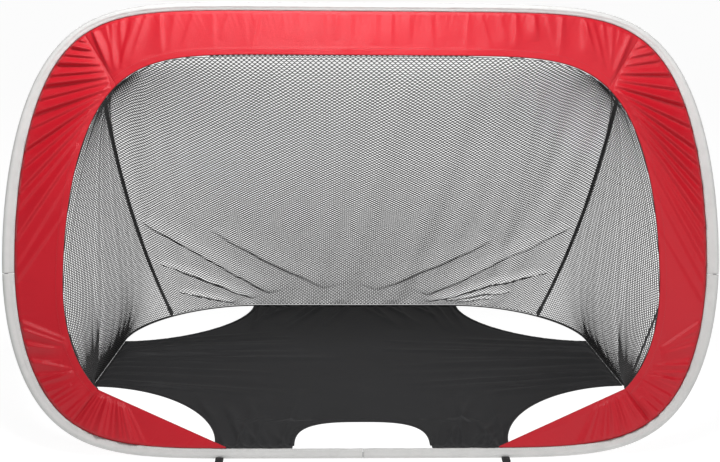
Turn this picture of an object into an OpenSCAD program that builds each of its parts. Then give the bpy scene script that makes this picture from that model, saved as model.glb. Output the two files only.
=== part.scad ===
// Pop-up goal net: a sprung hoop in a cloth sleeve, a band of sewn panels round the mouth, a net bag,
// four struts that swing on ball ends, and a scalloped floor sheet.
// +X is to the right as seen from the front, +Y runs back into the net, +Z is up, and the ground is Z = 0.
// The origin lies on the ground in the middle of the footprint.

/* [Hoop] */
// Outer width of the hoop
goal_w = 1200; // [1160:10:1260]
// Height of the hoop, measured up its own leaning plane
goal_h = 762; // [740:2:800]
// Height in the hoop's plane at which it is widest
widest_h = 330; // [310:2:350]
// How squarely the sides turn into the top and the bottom
squareness = 7; // [6.4:0.2:7.6]
// Backward lean of the hoop in degrees
lean = 15; // [13:0.5:17]
// Width of the hoop's sleeve from its outer edge to its seam
sleeve_w = 20; // [18:0.5:22]
// Thickness of the sleeve round the spring
sleeve_t = 12; // [11:0.5:13]
// Thickness of the sleeve's cloth
sleeve_cloth = 1.2; // [0.8:0.1:1.4]
// Diameter of the hoop's spring rod
spring_d = 6; // [4:0.5:7]
// Length of the ferrule that joins the ends of the spring
ferrule_len = 70; // [40:5:90]

/* [Mouth] */
// Width of the side bands with their sleeve, where the mouth is widest
side_band_w = 100; // [95:1:110]
// Height of the top band with its sleeve, in the hoop's plane
top_band_h = 87; // [82:1:97]
// Height at which the mouth is widest
mouth_widest = 290; // [275:5:305]
// Depth of the mouth's side curve below its widest point
mouth_drop = 228; // [222:1:232]
// Thickness of the band's cloth
band_t = 1.2; // [0.8:0.1:1.6]
// Width of the tape that backs the mouth's hem
tape_w = 12; // [10:1:14]
// Thickness of that tape
tape_t = 1.2; // [0.8:0.1:1.6]

/* [Net and floor] */
// Distance from the goal line to the back of the floor
net_depth = 768; // [755:1:790]
// Thickness of the net's knit
net_t = 1.6; // [1.2:0.1:2]
// How far the back net bags inwards between its seams
net_sag = 32; // [26:1:36]
// Thickness of the floor sheet
floor_t = 1.5; // [1:0.1:2]
// Half the width of the floor's rear edge
rear_half = 243; // [235:1:250]
// Half the width of the floor across the back of its side arms
arm_half = 504; // [498:1:512]
// Distance from the goal line to the back of the side arms
arm_back = 533; // [525:1:540]
// Half the width of the floor across the front of its side arms
arm_front_half = 518; // [513:1:522]
// Distance from the goal line to the front of the side arms
arm_front = 296; // [290:1:302]
// Half the width of the cut-out at the front of the floor
front_gap_half = 118; // [110:2:126]
// Depth of that cut-out
front_gap_depth = 138; // [130:2:146]
// Width of the binding round the edge of the floor
binding_w = 9; // [7:1:11]
// Height of the binding above the ground
binding_t = 3; // [2.4:0.1:3.4]
// Width of the tape round the net's foot
foot_tape_w = 5; // [4:0.5:6]
// Height of that tape above the ground
foot_tape_t = 2.4; // [2:0.1:3]

/* [Struts] */
// Diameter of the rods in the two rear struts
rear_rod_d = 5; // [4:0.2:5.6]
// Outward bow of the rear struts
rear_bow = 24; // [20:1:28]
// Outer diameter of the sleeves on the rear struts
rear_sleeve_d = 7.6; // [7.2:0.1:8]
// Diameter of the rods in the two side struts
side_rod_d = 4; // [3.2:0.2:4.4]
// Diameter of the ball on a rear strut's top cap
rear_ball_d = 10; // [9:0.2:11]
// Diameter of the ball on a side strut's top cap
side_ball_d = 8; // [7.4:0.2:8.6]
// Length of the caps on the struts' ends
cap_len = 26; // [22:1:30]

/* [Loops] */
// Width of the two peg loops in front of the goal line
loop_w = 13; // [11:1:15]
// How far the peg loops stand out in front of the sleeve
loop_reach = 14; // [13:1:16]
// Thickness of the webbing in the peg loops
webbing_t = 1.6; // [1.2:0.1:1.8]

/* [Hidden] */

right = 1;
left = -1;
gap = 0.3;              // clearance between pieces that touch, or that move in each other
fit = 0.1;              // clearance of a rod in its cap, and of a cap in its sock
cap_wall = 1.2;         // wall of the caps, the cups and the socks
ferrule_wall = 1.2;
flange_t = 1.4;         // thickness of the patch that a pocket is sewn on with
tail_d = 4;             // thickness of the sleeve at its seam
section_turn = 105;     // how far the sleeve's section turns about the spring, to each side
tab_lap = 3;            // how far below the sleeve's seam the floor's tabs meet it
seam_gap = 0.03;        // angle left open at each butt seam of the sleeve
steps = 80;             // stations round the hoop
scallop = 1.85;         // power of the curves in the floor's outline
cut_power = 3;          // power of the front cut-out's curve

// Seams between the bands, as angles of the hoop's outline and of the mouth's
upper_seam = 38;
upper_seam_in = 34.5;
lower_seam = -34.6;
lower_seam_in = -28.1;
lower_tip = -66.6;      // where the lower bands run out at the sleeve
tip_w = 2.5;            // width left to them there
side_seam = -2;         // butt seam of the sleeve, low on each side

mouth_w = goal_w - 2 * side_band_w;                      // width of the mouth between the side bands
mouth_top = goal_h - top_band_h;                         // top edge of the mouth, in the hoop's plane
foot_z = sleeve_t / 2 * (1 - cos(lean));                 // lifts the leaning sleeve onto the ground
loop_d = 6;                                              // height of a peg loop
front_reach = sleeve_t / 2 + loop_reach;
binding_out = 1.5;                                       // how far the binding laps past the sheet
tape_in = binding_out + gap;                             // inner edge of the net's foot tape
back_reach = net_depth + tape_in + foot_tape_w;
goal_y = (front_reach - back_reach) / 2;                 // the goal line
mouth_tape_n = band_t / 2 + gap;                         // front of the mouth tape, behind the hoop's plane
net_n = mouth_tape_n + tape_t + gap + net_t / 2;         // the net's seam, behind the hoop's plane

// ---------- outlines ----------

function mix(a, b, t) = a + (b - a) * t;

function unit(v) = v / norm(v);

function reversed(list) = [for (i = [len(list) - 1:-1:0]) list[i]];

function flip_x(points) = [for (p = reversed(points)) [-p[0], p[1]]];

// An oval with square shoulders: half width a, widest at height h, reaching up and down from there
function oval(a, h, up, down, angle) =
    [a * cos(angle), h + (sin(angle) >= 0 ? up : -down) * sqrt(1 - pow(abs(cos(angle)), squareness))];

function hoop_edge(angle) = oval(goal_w / 2, widest_h, goal_h - widest_h, widest_h, angle);

function mouth_edge(angle) = oval(mouth_w / 2, mouth_widest, mouth_top - mouth_widest, mouth_drop, angle);

// The direction out of the hoop, square to its edge
function hoop_out(angle) = let (d = hoop_edge(angle + 0.5) - hoop_edge(angle - 0.5)) unit([d[1], -d[0]]);

function mouth_out(angle) = let (d = mouth_edge(angle + 0.5) - mouth_edge(angle - 0.5)) unit([d[1], -d[0]]);

// A point at depth inside the hoop's outer edge, in the hoop's plane
function hoop_inset(angle, depth) = hoop_edge(angle) - depth * hoop_out(angle);

// From the hoop's plane, with behind counted back from it, to the ground's frame
function standing(p, behind) = [
    p[0],
    goal_y + p[1] * sin(lean) + behind * cos(lean),
    foot_z + p[1] * cos(lean) - behind * sin(lean)
];

// A quarter of a rounded corner, from [ax, 0] to [0, ay]
function quarter(ax, ay, power, n) = [for (i = [0:n])
    [ax * pow(max(0, cos(90 * i / n)), 2 / power), ay * pow(sin(90 * i / n), 2 / power)]];

// ---------- solids made from rows of points ----------

// With openings, every second cell both ways is left out
function wall(rows, cols, shift, turn, openings) = [for (i = [0:rows - 2], j = [0:cols - 2])
    if (!openings || i % 2 == 0 || j % 2 == 0)
    let (a = shift + i * cols + j, b = a + 1, c = a + cols, d = c + 1)
    each (turn ? [[a, c, d], [a, d, b]] : [[a, d, c], [a, b, d]])];

function rim(edge, shift, turn) = [for (k = [0:len(edge) - 2])
    let (a = edge[k], b = edge[k + 1], c = a + shift, d = b + shift)
    each (turn ? [[a, c, d], [a, d, b]] : [[a, d, c], [a, b, d]])];

function hole_sides(rows, cols) = [for (i = [1:2:rows - 3], j = [1:2:cols - 3])
    let (a = i * cols + j, b = a + 1, c = a + cols, d = c + 1, n = rows * cols)
    each concat(rim([a, b], n, true), rim([c, d], n, false), rim([a, c], n, false), rim([b, d], n, true))];

// A thin closed solid between two grids of points of the same size
module sheet(near, far, openings = false) {
    rows = len(near);
    cols = len(near[0]);
    n = rows * cols;
    polyhedron(
        points = concat([for (r = near) each r], [for (r = far) each r]),
        faces = concat(
            wall(rows, cols, 0, true, openings),
            wall(rows, cols, n, false, openings),
            openings ? hole_sides(rows, cols) : [],
            rim([for (j = [0:cols - 1]) j], n, false),
            rim([for (j = [0:cols - 1]) n - cols + j], n, true),
            rim([for (i = [0:rows - 1]) i * cols], n, true),
            rim([for (i = [0:rows - 1]) i * cols + cols - 1], n, false)
        )
    );
}

function around(rings, count, shift, turn) = [for (i = [0:rings - 2], j = [0:count - 1])
    let (a = shift + i * count + j, b = shift + i * count + (j + 1) % count, c = a + count, d = b + count)
    each (turn ? [[a, c, d], [a, d, b]] : [[a, d, c], [a, b, d]])];

// A hollow tube between two stacks of rings, closed by a flat rim at each end
module tube(outer, inner) {
    rings = len(outer);
    count = len(outer[0]);
    n = rings * count;
    last = n - count;
    polyhedron(
        points = concat([for (r = outer) each r], [for (r = inner) each r]),
        faces = concat(
            around(rings, count, 0, false),
            around(rings, count, n, true),
            [for (j = [0:count - 1]) let (k = (j + 1) % count) each [[j, n + k, k], [j, n + j, n + k]]],
            [for (j = [last:n - 1]) let (k = last + (j + 1 - last) % count)
                each [[j, k, n + k], [j, n + k, n + j]]]
        )
    );
}

// A rod bent into a closed ring
module ring(rings) {
    count = len(rings[0]);
    n = len(rings) * count;
    faces = around(len(rings) + 1, count, 0, false);
    polyhedron(points = [for (r = rings) each r], faces = [for (f = faces) [for (k = f) k % n]]);
}

module on_side(side) {
    if (side == left) mirror([1, 0, 0]) children();
    else children();
}

// Into the hoop's plane: x, then up the plane, then out in front of it
module on_hoop() translate([0, goal_y, foot_z]) rotate([90 - lean, 0, 0]) children();

// ---------- the hoop ----------

sleeve_r = sleeve_t / 2;

function spring_ring(angle) = [for (k = [0:7])
    let (a = 45 * k, p = hoop_inset(angle, sleeve_r - spring_d / 2 * cos(a)))
    [p[0], p[1], spring_d / 2 * sin(a)]];

// The sleeve's section: round about the spring, with a flat tail at the seam
function sleeve_ring(angle, inset) =
    let (
        r = sleeve_r - inset,
        tail = tail_d / 2 - inset / 2,
        bend = [for (a = [-section_turn:35:section_turn]) [sleeve_r - r * cos(a), r * sin(a)]],
        seam = [[sleeve_w - inset, tail], [sleeve_w - inset, -tail]]
    )
    [for (s = concat(bend, seam)) let (p = hoop_inset(angle, s[0])) [p[0], p[1], s[1]]];

function sleeve_turns(from, to) = let (n = round(steps * (to - from) / 360))
    [for (i = [0:n]) mix(from + seam_gap, to - seam_gap, i / n)];

module sleeve_part(from, to) {
    turns = sleeve_turns(from, to);
    on_hoop() tube([for (a = turns) sleeve_ring(a, 0)], [for (a = turns) sleeve_ring(a, sleeve_cloth)]);
}

module sleeve_top() color("#e6e5e2") sleeve_part(side_seam, 180 - side_seam);

module sleeve_lower_left() color("#e6e5e2") sleeve_part(180 - side_seam, 270);

module sleeve_lower_right() color("#e6e5e2") sleeve_part(270, 360 + side_seam);

module hoop_spring() color("#8d8f92")
    on_hoop() ring([for (i = [0:steps - 1]) spring_ring(360 * i / steps)]);

// The ferrule lies on the straight foot of the hoop, at its middle
module hoop_ferrule() color("#b9bbbe")
    on_hoop() translate([-ferrule_len / 2, sleeve_r, 0]) rotate([0, 90, 0]) difference() {
        cylinder(h = ferrule_len, r = spring_d / 2 + fit + ferrule_wall, $fn = 48);
        translate([0, 0, -1]) cylinder(h = ferrule_len + 2, r = spring_d / 2 + fit, $fn = 48);
    }

// ---------- the bands ----------

// The line that the bands are sewn along, on the right: a clearance inside the sleeve's seam, and
// straight between the sleeve's stations, as the seam is
function sewn_edge(angle) =
    let (
        turns = angle < side_seam ? sleeve_turns(-90, side_seam) : sleeve_turns(side_seam, 180 - side_seam),
        n = len(turns) - 1,
        u = max(0, min(n, n * (angle - turns[0]) / (turns[n] - turns[0]))),
        i = min(n - 1, floor(u))
    )
    mix(hoop_inset(turns[i], sleeve_w + gap), hoop_inset(turns[i + 1], sleeve_w + gap), u - i);

// A flat panel in the hoop's plane; each row runs from the sleeve to the mouth
module panel(rows, from, to) {
    on_hoop() sheet([for (r = rows) [for (p = r) [p[0], p[1], from]]],
        [for (r = rows) [for (p = r) [p[0], p[1], to]]]);
}

module band(rows) panel([for (r = rows) [r[0], mix(r[0], r[1], 0.5), r[1]]], band_t / 2, -band_t / 2);

function band_row(outer, inner) = [sewn_edge(outer), mouth_edge(inner)];

function side_rows() = let (n = 20) [for (i = [0:n])
    band_row(mix(upper_seam, lower_seam, i / n), mix(upper_seam_in, lower_seam_in, i / n))];

// Below the lower seam the mouth's edge runs straight to where the band runs out
lower_corner = mouth_edge(lower_seam_in);
lower_end = sewn_edge(lower_tip) + [0, tip_w];

function lower_rows() = let (n = 10) [for (i = [0:n])
    [sewn_edge(mix(lower_seam, lower_tip, i / n)), mix(lower_corner, lower_end, i / n)]];

module band_top() color("#c9343c") {
    n = 26;
    band([for (i = [0:n]) band_row(mix(180 - upper_seam, upper_seam, i / n),
        mix(180 - upper_seam_in, upper_seam_in, i / n))]);
}

module side_band(side) color("#b02733") on_side(side) band(side_rows());

module lower_band(side) color("#b02733") on_side(side) band(lower_rows());

module band_left() side_band(left);

module band_right() side_band(right);

module band_lower_left() lower_band(left);

module band_lower_right() lower_band(right);

// The tape backs the mouth's hem from one lower seam up and round to the other
module mouth_tape() color("#232325") {
    n = 60;
    turns = [for (i = [0:n]) mix(180 - lower_seam_in, lower_seam_in, i / n)];
    panel([for (a = turns) [mouth_edge(a) + tape_w * mouth_out(a), mouth_edge(a)]],
        -mouth_tape_n, -mouth_tape_n - tape_t);
}

// ---------- the floor ----------

arm_front_y = goal_y + arm_front;
arm_back_y = goal_y + arm_back;
rear_y = goal_y + net_depth;
tab_y = goal_y + 45;                // from here the front tabs rise to the sleeve
tab_half = rear_half + 2;           // outer edge of the front tabs
gap_top = goal_y + front_gap_depth;

// Half of the floor's outline, moved in from the edge by inset, from its front middle to its back middle
function floor_half(inset) = concat(
    [for (p = reversed(quarter(front_gap_half + inset, gap_top - tab_y + inset, cut_power, 8)))
        p + [0, tab_y]],
    [for (p = quarter(arm_front_half - tab_half + inset, arm_front_y - tab_y + inset, scallop, 12))
        [min(arm_front_half - p[0], arm_front_half - inset), tab_y + p[1]]],
    [for (p = reversed(quarter(arm_half - rear_half + inset, rear_y - arm_back_y + inset, scallop, 12)))
        [min(arm_half - p[0], arm_half - inset), min(rear_y - p[1], rear_y - inset)]]
);

module floor_outline(inset) polygon(concat(floor_half(inset), flip_x(floor_half(inset))));

// A point just behind the sleeve, on its flat run from the spring to the seam
function behind_sleeve(depth) =
    let (
        shoulder = sleeve_r * (1 - cos(section_turn)),
        half = mix(sleeve_r * sin(section_turn), tail_d / 2, (depth - shoulder) / (sleeve_w - shoulder)),
        p = standing([0, depth], half + gap)
    )
    [p[1], p[2]];

// The front tab as seen from the side: it rises from the ground to the back of the sleeve
module tab_profile() polygon([
    [tab_y, 0],
    [tab_y, floor_t],
    behind_sleeve(sleeve_w - tab_lap),
    behind_sleeve(sleeve_w - tab_lap - floor_t)
]);

module tab_strip(from, to) translate([from, 0, 0]) rotate([90, 0, 90])
    linear_extrude(to - from) tab_profile();

binding_in = binding_w - binding_out;

module floor_sheet() color("#3a3a3d") {
    linear_extrude(floor_t) floor_outline(binding_in + gap);
    for (side = [left, right]) on_side(side) {
        translate([front_gap_half + binding_in, tab_y, 0])
            cube([tab_half - front_gap_half - 2 * binding_in, binding_in + gap, floor_t]);
        tab_strip(front_gap_half, tab_half);
    }
}

// The binding is folded over the sheet's edge. It stops at the front of the tabs and at the rear's middle.
module floor_binding() linear_extrude(binding_t) difference() {
    floor_outline(-binding_out);
    floor_outline(binding_in);
}

module floor_binding_front() color("#1b1b1d") intersection() {
    floor_binding();
    translate([-tab_half / 2 - front_gap_half / 2, tab_y + gap, -1])
        cube([tab_half + front_gap_half, gap_top - tab_y + binding_w, binding_t + 2]);
}

module side_binding(side) color("#1b1b1d") on_side(side) difference() {
    floor_binding();
    translate([gap / 2 - goal_w, goal_y, -1]) cube([goal_w, 2 * net_depth, binding_t + 2]);
    translate([-1, goal_y, -1])
        cube([tab_half / 2 + front_gap_half / 2 + gap + 1, front_gap_depth + binding_w, binding_t + 2]);
    translate([0, goal_y, -1]) cube([goal_w, tab_y + gap - goal_y, binding_t + 2]);
}

module floor_binding_left() side_binding(left);

module floor_binding_right() side_binding(right);

// ---------- the net ----------

hem_n = tape_in + foot_tape_w / 2;                     // the net's foot, out from the floor's edge
hem_z = foot_tape_t + gap + net_t / 2;
strut_turn = 45;                                       // the rear struts' feet, round the net's rear corners
net_rows = 10;                                         // openings down each net
back_cols = 12;                                        // and across the back net
side_cols = 9;                                         // and across each side net
rib_share = 0.0075;                                    // half a rib, as a share of the net's length or width

// The rear corner of the net's foot, moved out from the floor by out; turn goes from the arm to the back
function rear_corner(out, turn) = [
    rear_half + (arm_half - rear_half + out) * pow(max(0, cos(turn)), 2 / scallop),
    arm_back_y + (rear_y - arm_back_y + out) * pow(max(0, sin(turn)), 2 / scallop)
];

function foot_half(out) = concat(
    [[arm_front_half + out, arm_front_y], [arm_half + out, arm_back_y]],
    [for (i = [1:12]) rear_corner(out, 90 * i / 12)]
);

module net_foot_tape() color("#1b1b1d") linear_extrude(foot_tape_t) polygon(concat(
    foot_half(tape_in + foot_tape_w),
    flip_x(foot_half(tape_in + foot_tape_w)),
    reversed(flip_x(foot_half(tape_in))),
    reversed(foot_half(tape_in))
));

function grounded(p) = [p[0], p[1], hem_z];

// The net's seam at each rear corner: from the mouth it joins the strut, and keeps beside it to the ground
mouth_corner = standing(mouth_edge(upper_seam_in), net_n);
hem_corner = grounded(rear_corner(hem_n, strut_turn));

function rear_strut_point(t) = mix(rear_top, rear_foot, t) + [4 * rear_bow * t * (1 - t), 0, 0];

function ease(t, from, to) = let (u = max(0, min(1, (t - from) / (to - from)))) u * u;

function seam(t) =
    let (
        beside = (rear_sleeve_d / 2 + gap + net_t) * unit([-1, -0.8, -0.6]),
        on_strut = rear_strut_point(t) + beside,
        top_miss = mouth_corner - rear_top - beside,
        foot_miss = hem_corner - rear_foot - beside
    )
    on_strut + top_miss * ease(t, 0.3, 0) + foot_miss * ease(t, 0.85, 1);

// The lines of a plain grid of n openings between ribs, from 0 to 1
function mesh_lines(n, rib) = concat([0], [for (i = [0:n - 1]) each [i / n + rib, (i + 1) / n - rib]], [1]);

// A surface spanned between four edges, each a function that runs from 0 to 1. The first and last
// edges pull it out of line, and a higher power keeps that pull nearer to them.
function spanned(top, bottom, first, last, power, down, across) = [for (t = down)
    [for (s = across)
        mix(top(s), bottom(s), t)
        + (first(t) - mix(top(0), bottom(0), t)) * pow(1 - s, power)
        + (last(t) - mix(top(1), bottom(1), t)) * pow(s, power)]];

function back_hem(s) = let (u = abs(2 * s - 1), side = s < 0.5 ? -1 : 1)
    u < 0.5
        ? [side * u * 2 * rear_half, rear_y + hem_n, hem_z]
        : let (p = grounded(rear_corner(hem_n, mix(90, strut_turn, 2 * u - 1)))) [side * p[0], p[1], p[2]];

module net_back() color("#5a5a5c") {
    down = mesh_lines(net_rows, rib_share);
    across = mesh_lines(back_cols, rib_share);
    inner = [-1.2, 0, 0];
    grid = spanned(
        function (s) standing(mouth_edge(mix(180 - upper_seam_in, upper_seam_in, s)), net_n)
            + inner * (2 * s - 1),
        function (s) back_hem(s) + inner * (2 * s - 1),
        function (t) let (p = seam(t) + inner) [-p[0], p[1], p[2]],
        function (t) seam(t) + inner,
        3, down, across);
    out = unit([0, 0.74, 0.68]);
    half = net_t / 2 * out;
    bag = [for (i = [0:len(down) - 1]) [for (j = [0:len(across) - 1])
        grid[i][j] - net_sag * sin(180 * sqrt(down[i])) * (1 - pow(abs(2 * across[j] - 1), 2.5)) * out]];
    sheet([for (r = bag) [for (p = r) p + half]], [for (r = bag) [for (p = r) p - half]], true);
}

first_turn = upper_seam_in - 1;     // the side nets start here, just below the upper corner
first_drop = 0.02;                  // and here on the seam

// The side net's foot: from the band's lower corner to the arm, along the arm, then round to the strut
function side_hem(s) =
    let (
        start = standing(lower_corner, net_n),
        front = grounded([arm_front_half + hem_n, arm_front_y]),
        back = grounded([arm_half + hem_n, arm_back_y])
    )
    3 * s < 1 ? mix(start, front, 3 * s)
        : 3 * s < 2 ? mix(front, back, 3 * s - 1)
        : grounded(rear_corner(hem_n, mix(0, strut_turn, 3 * s - 2)));

module side_net(side) color("#5a5a5c") on_side(side) {
    before = [0, -0.9, -0.7];
    start = standing(mouth_edge(first_turn), net_n);
    end = seam(first_drop) + before;
    grid = spanned(
        function (s) mix(start, end, s),
        function (s) side_hem(s) + before * s,
        function (t) standing(mouth_edge(mix(first_turn, lower_seam_in, t)), net_n),
        function (t) seam(mix(first_drop, 1, t)) + before,
        1.5, mesh_lines(net_rows, rib_share), mesh_lines(side_cols, rib_share));
    half = [net_t / 2, 0, 0];
    sheet([for (r = grid) [for (p = r) p - half]], [for (r = grid) [for (p = r) p + half]], true);
}

module net_left() side_net(left);

module net_right() side_net(right);

// ---------- the struts ----------

rear_top_angle = 39.4;     // the rear struts' tops, as an angle of the hoop's outline
side_top_angle = 6.3;      // the side struts' tops
pocket_in = 8;             // the balls' centres, in from the sleeve's seam

function cup_r(ball) = ball / 2 + gap + cap_wall;

// How far a ball's centre lies behind the hoop's plane: its cup stands on the flange
function ball_behind(ball) = band_t / 2 + gap + flange_t + cup_r(ball) - 0.6;

function cap_r(rod) = rod / 2 + fit + cap_wall;

function sock_r(rod) = cap_r(rod) + fit + cap_wall;

rear_top = standing(hoop_inset(rear_top_angle, sleeve_w + pocket_in), ball_behind(rear_ball_d));
side_top = standing(hoop_inset(side_top_angle, sleeve_w + pocket_in), ball_behind(side_ball_d));
rear_foot = let (p = rear_corner(tape_in + foot_tape_w + gap + sock_r(rear_rod_d) + 0.4, strut_turn))
    [p[0], p[1], sock_r(rear_rod_d)];
side_foot = [
    arm_front_half + tape_in + foot_tape_w + gap + sock_r(side_rod_d) + 0.4,
    arm_front_y,
    sock_r(side_rod_d)
];

rear_len = norm(rear_top - rear_foot);
side_len = norm(side_top - side_foot);
bow_r = rear_len * rear_len / (8 * rear_bow) + rear_bow / 2;
bow_half = asin(rear_len / 2 / bow_r);

// Stands z along the line from a strut's foot to its top, with x outward
module along(foot, top, side) {
    d = top - foot;
    on_side(side) translate(foot) rotate([atan2(-d[1], d[2]), 0, 0])
        rotate([0, asin(d[0] / norm(d)), 0]) children();
}

module at_bow(turn) translate([rear_bow - bow_r, 0, rear_len / 2]) rotate([0, -turn, 0])
    translate([bow_r, 0, 0]) children();

// A round bar bent to the rear struts' bow, from and to measured along it from the foot and the top
module bow_bar(from, to, r) {
    a = -bow_half + from / bow_r * 180 / PI;
    b = bow_half - to / bow_r * 180 / PI;
    translate([rear_bow - bow_r, 0, rear_len / 2]) rotate([90, 0, 0]) rotate([0, 0, a])
        rotate_extrude(angle = b - a, $fn = 1440) translate([bow_r, 0]) circle(r = r, $fn = 24);
}

// A cap with a ball end, its ball at the origin and its rod coming from below
module ball_cap(ball, rod) difference() {
    union() {
        sphere(r = ball / 2, $fn = 48);
        translate([0, 0, -cap_len]) cylinder(h = cap_len, r = cap_r(rod), $fn = 32);
    }
    translate([0, 0, -cap_len - 1]) cylinder(h = cap_len + 1 - ball / 3, r = rod / 2 + fit, $fn = 32);
}

// A closed cap round the foot of a rod that comes from above
module foot_cap(rod) difference() {
    union() {
        sphere(r = cap_r(rod), $fn = 32);
        cylinder(h = cap_len, r = cap_r(rod), $fn = 32);
    }
    cylinder(h = cap_len + 1, r = rod / 2 + fit, $fn = 32);
}

// The cloth sock that the net holds a foot with
module foot_sock(rod) difference() {
    union() {
        sphere(r = sock_r(rod), $fn = 32);
        cylinder(h = cap_len - 3, r = sock_r(rod), $fn = 32);
    }
    sphere(r = cap_r(rod) + fit, $fn = 32);
    cylinder(h = cap_len, r = cap_r(rod) + fit, $fn = 32);
}

module rear_rod(side) color("#2b2b2d") along(rear_foot, rear_top, side)
    bow_bar(gap, rear_ball_d / 3 + gap, rear_rod_d / 2);

module rear_sleeve(side) color("#141416") along(rear_foot, rear_top, side) difference() {
    bow_bar(cap_len + gap, cap_len + gap, rear_sleeve_d / 2);
    bow_bar(cap_len - 1, cap_len - 1, rear_rod_d / 2 + fit);
}

module rear_top_cap(side) color("#101012") along(rear_foot, rear_top, side)
    at_bow(bow_half) ball_cap(rear_ball_d, rear_rod_d);

module rear_foot_cap(side) color("#101012") along(rear_foot, rear_top, side)
    at_bow(-bow_half) foot_cap(rear_rod_d);

module rear_foot_sock(side) color("#1b1b1d") along(rear_foot, rear_top, side)
    at_bow(-bow_half) foot_sock(rear_rod_d);

module side_rod(side) color("#2b2b2d") along(side_foot, side_top, side)
    translate([0, 0, gap]) cylinder(h = side_len - 2 * gap - side_ball_d / 3, r = side_rod_d / 2, $fn = 32);

module side_top_cap(side) color("#101012") along(side_foot, side_top, side)
    translate([0, 0, side_len]) ball_cap(side_ball_d, side_rod_d);

module side_foot_cap(side) color("#101012") along(side_foot, side_top, side) foot_cap(side_rod_d);

module side_foot_sock(side) color("#1b1b1d") along(side_foot, side_top, side) foot_sock(side_rod_d);

module rear_rod_left() rear_rod(left);
module rear_rod_right() rear_rod(right);
module rear_sleeve_left() rear_sleeve(left);
module rear_sleeve_right() rear_sleeve(right);
module rear_top_cap_left() rear_top_cap(left);
module rear_top_cap_right() rear_top_cap(right);
module rear_foot_cap_left() rear_foot_cap(left);
module rear_foot_cap_right() rear_foot_cap(right);
module rear_foot_sock_left() rear_foot_sock(left);
module rear_foot_sock_right() rear_foot_sock(right);
module side_rod_left() side_rod(left);
module side_rod_right() side_rod(right);
module side_top_cap_left() side_top_cap(left);
module side_top_cap_right() side_top_cap(right);
module side_foot_cap_left() side_foot_cap(left);
module side_foot_cap_right() side_foot_cap(right);
module side_foot_sock_left() side_foot_sock(left);
module side_foot_sock_right() side_foot_sock(right);

// ---------- pockets and loops ----------

// A cup for a strut's ball, on a round patch on the band's back; it opens down, from the plane to opening
module pocket(side, angle, ball, opening) color("#1b1b1d") on_side(side) {
    patch_r = 14;
    back = -ball_behind(ball);
    p = hoop_inset(angle, sleeve_w + pocket_in);
    q = hoop_inset(angle, sleeve_w + patch_r + 2);
    on_hoop() {
        translate([q[0], q[1], -band_t / 2 - gap - flange_t]) cylinder(h = flange_t, r = patch_r, $fn = 64);
        translate([p[0], p[1], back]) difference() {
            sphere(r = cup_r(ball), $fn = 64);
            sphere(r = ball / 2 + gap, $fn = 64);
            rotate([opening, 0, 0]) translate([-ball, -2 * ball - 0.5, -ball]) cube(2 * ball);
        }
    }
}

module rear_pocket_left() pocket(left, rear_top_angle, rear_ball_d, 30);

module rear_pocket_right() pocket(right, rear_top_angle, rear_ball_d, 30);

module side_pocket_left() pocket(left, side_top_angle, side_ball_d, 22);

module side_pocket_right() pocket(right, side_top_angle, side_ball_d, 22);

// A loop of webbing that stands out on the ground in front of the sleeve, for a peg
module peg_loop(side) color("#161618") on_side(side) {
    r = loop_d / 2;
    front = goal_y - front_reach + r;
    back = goal_y + sleeve_r * sin(lean) - sqrt(pow(sleeve_r + r + gap, 2) - pow(sleeve_r - r, 2));
    translate([tab_half - loop_w, 0, 0]) rotate([90, 0, 90]) linear_extrude(loop_w) difference() {
        stadium(front, back, r);
        stadium(front, back, r - webbing_t);
    }
}

module stadium(from, to, r) {
    translate([from, loop_d / 2]) circle(r = r, $fn = 48);
    translate([to, loop_d / 2]) circle(r = r, $fn = 48);
    translate([from, loop_d / 2 - r]) square([to - from, 2 * r]);
}

module peg_loop_left() peg_loop(left);

module peg_loop_right() peg_loop(right);

hoop_spring();
hoop_ferrule();
sleeve_top();
sleeve_lower_left();
sleeve_lower_right();
band_top();
band_left();
band_right();
band_lower_left();
band_lower_right();
mouth_tape();
net_back();
net_left();
net_right();
net_foot_tape();
floor_sheet();
floor_binding_front();
floor_binding_left();
floor_binding_right();
peg_loop_left();
peg_loop_right();
rear_pocket_left();
rear_pocket_right();
side_pocket_left();
side_pocket_right();
rear_rod_left();
rear_rod_right();
rear_sleeve_left();
rear_sleeve_right();
rear_top_cap_left();
rear_top_cap_right();
rear_foot_cap_left();
rear_foot_cap_right();
rear_foot_sock_left();
rear_foot_sock_right();
side_rod_left();
side_rod_right();
side_top_cap_left();
side_top_cap_right();
side_foot_cap_left();
side_foot_cap_right();
side_foot_sock_left();
side_foot_sock_right();
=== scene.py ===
"""Pop-up goal net: cloth, nets, webbing and finishes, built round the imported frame."""

import math

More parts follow.
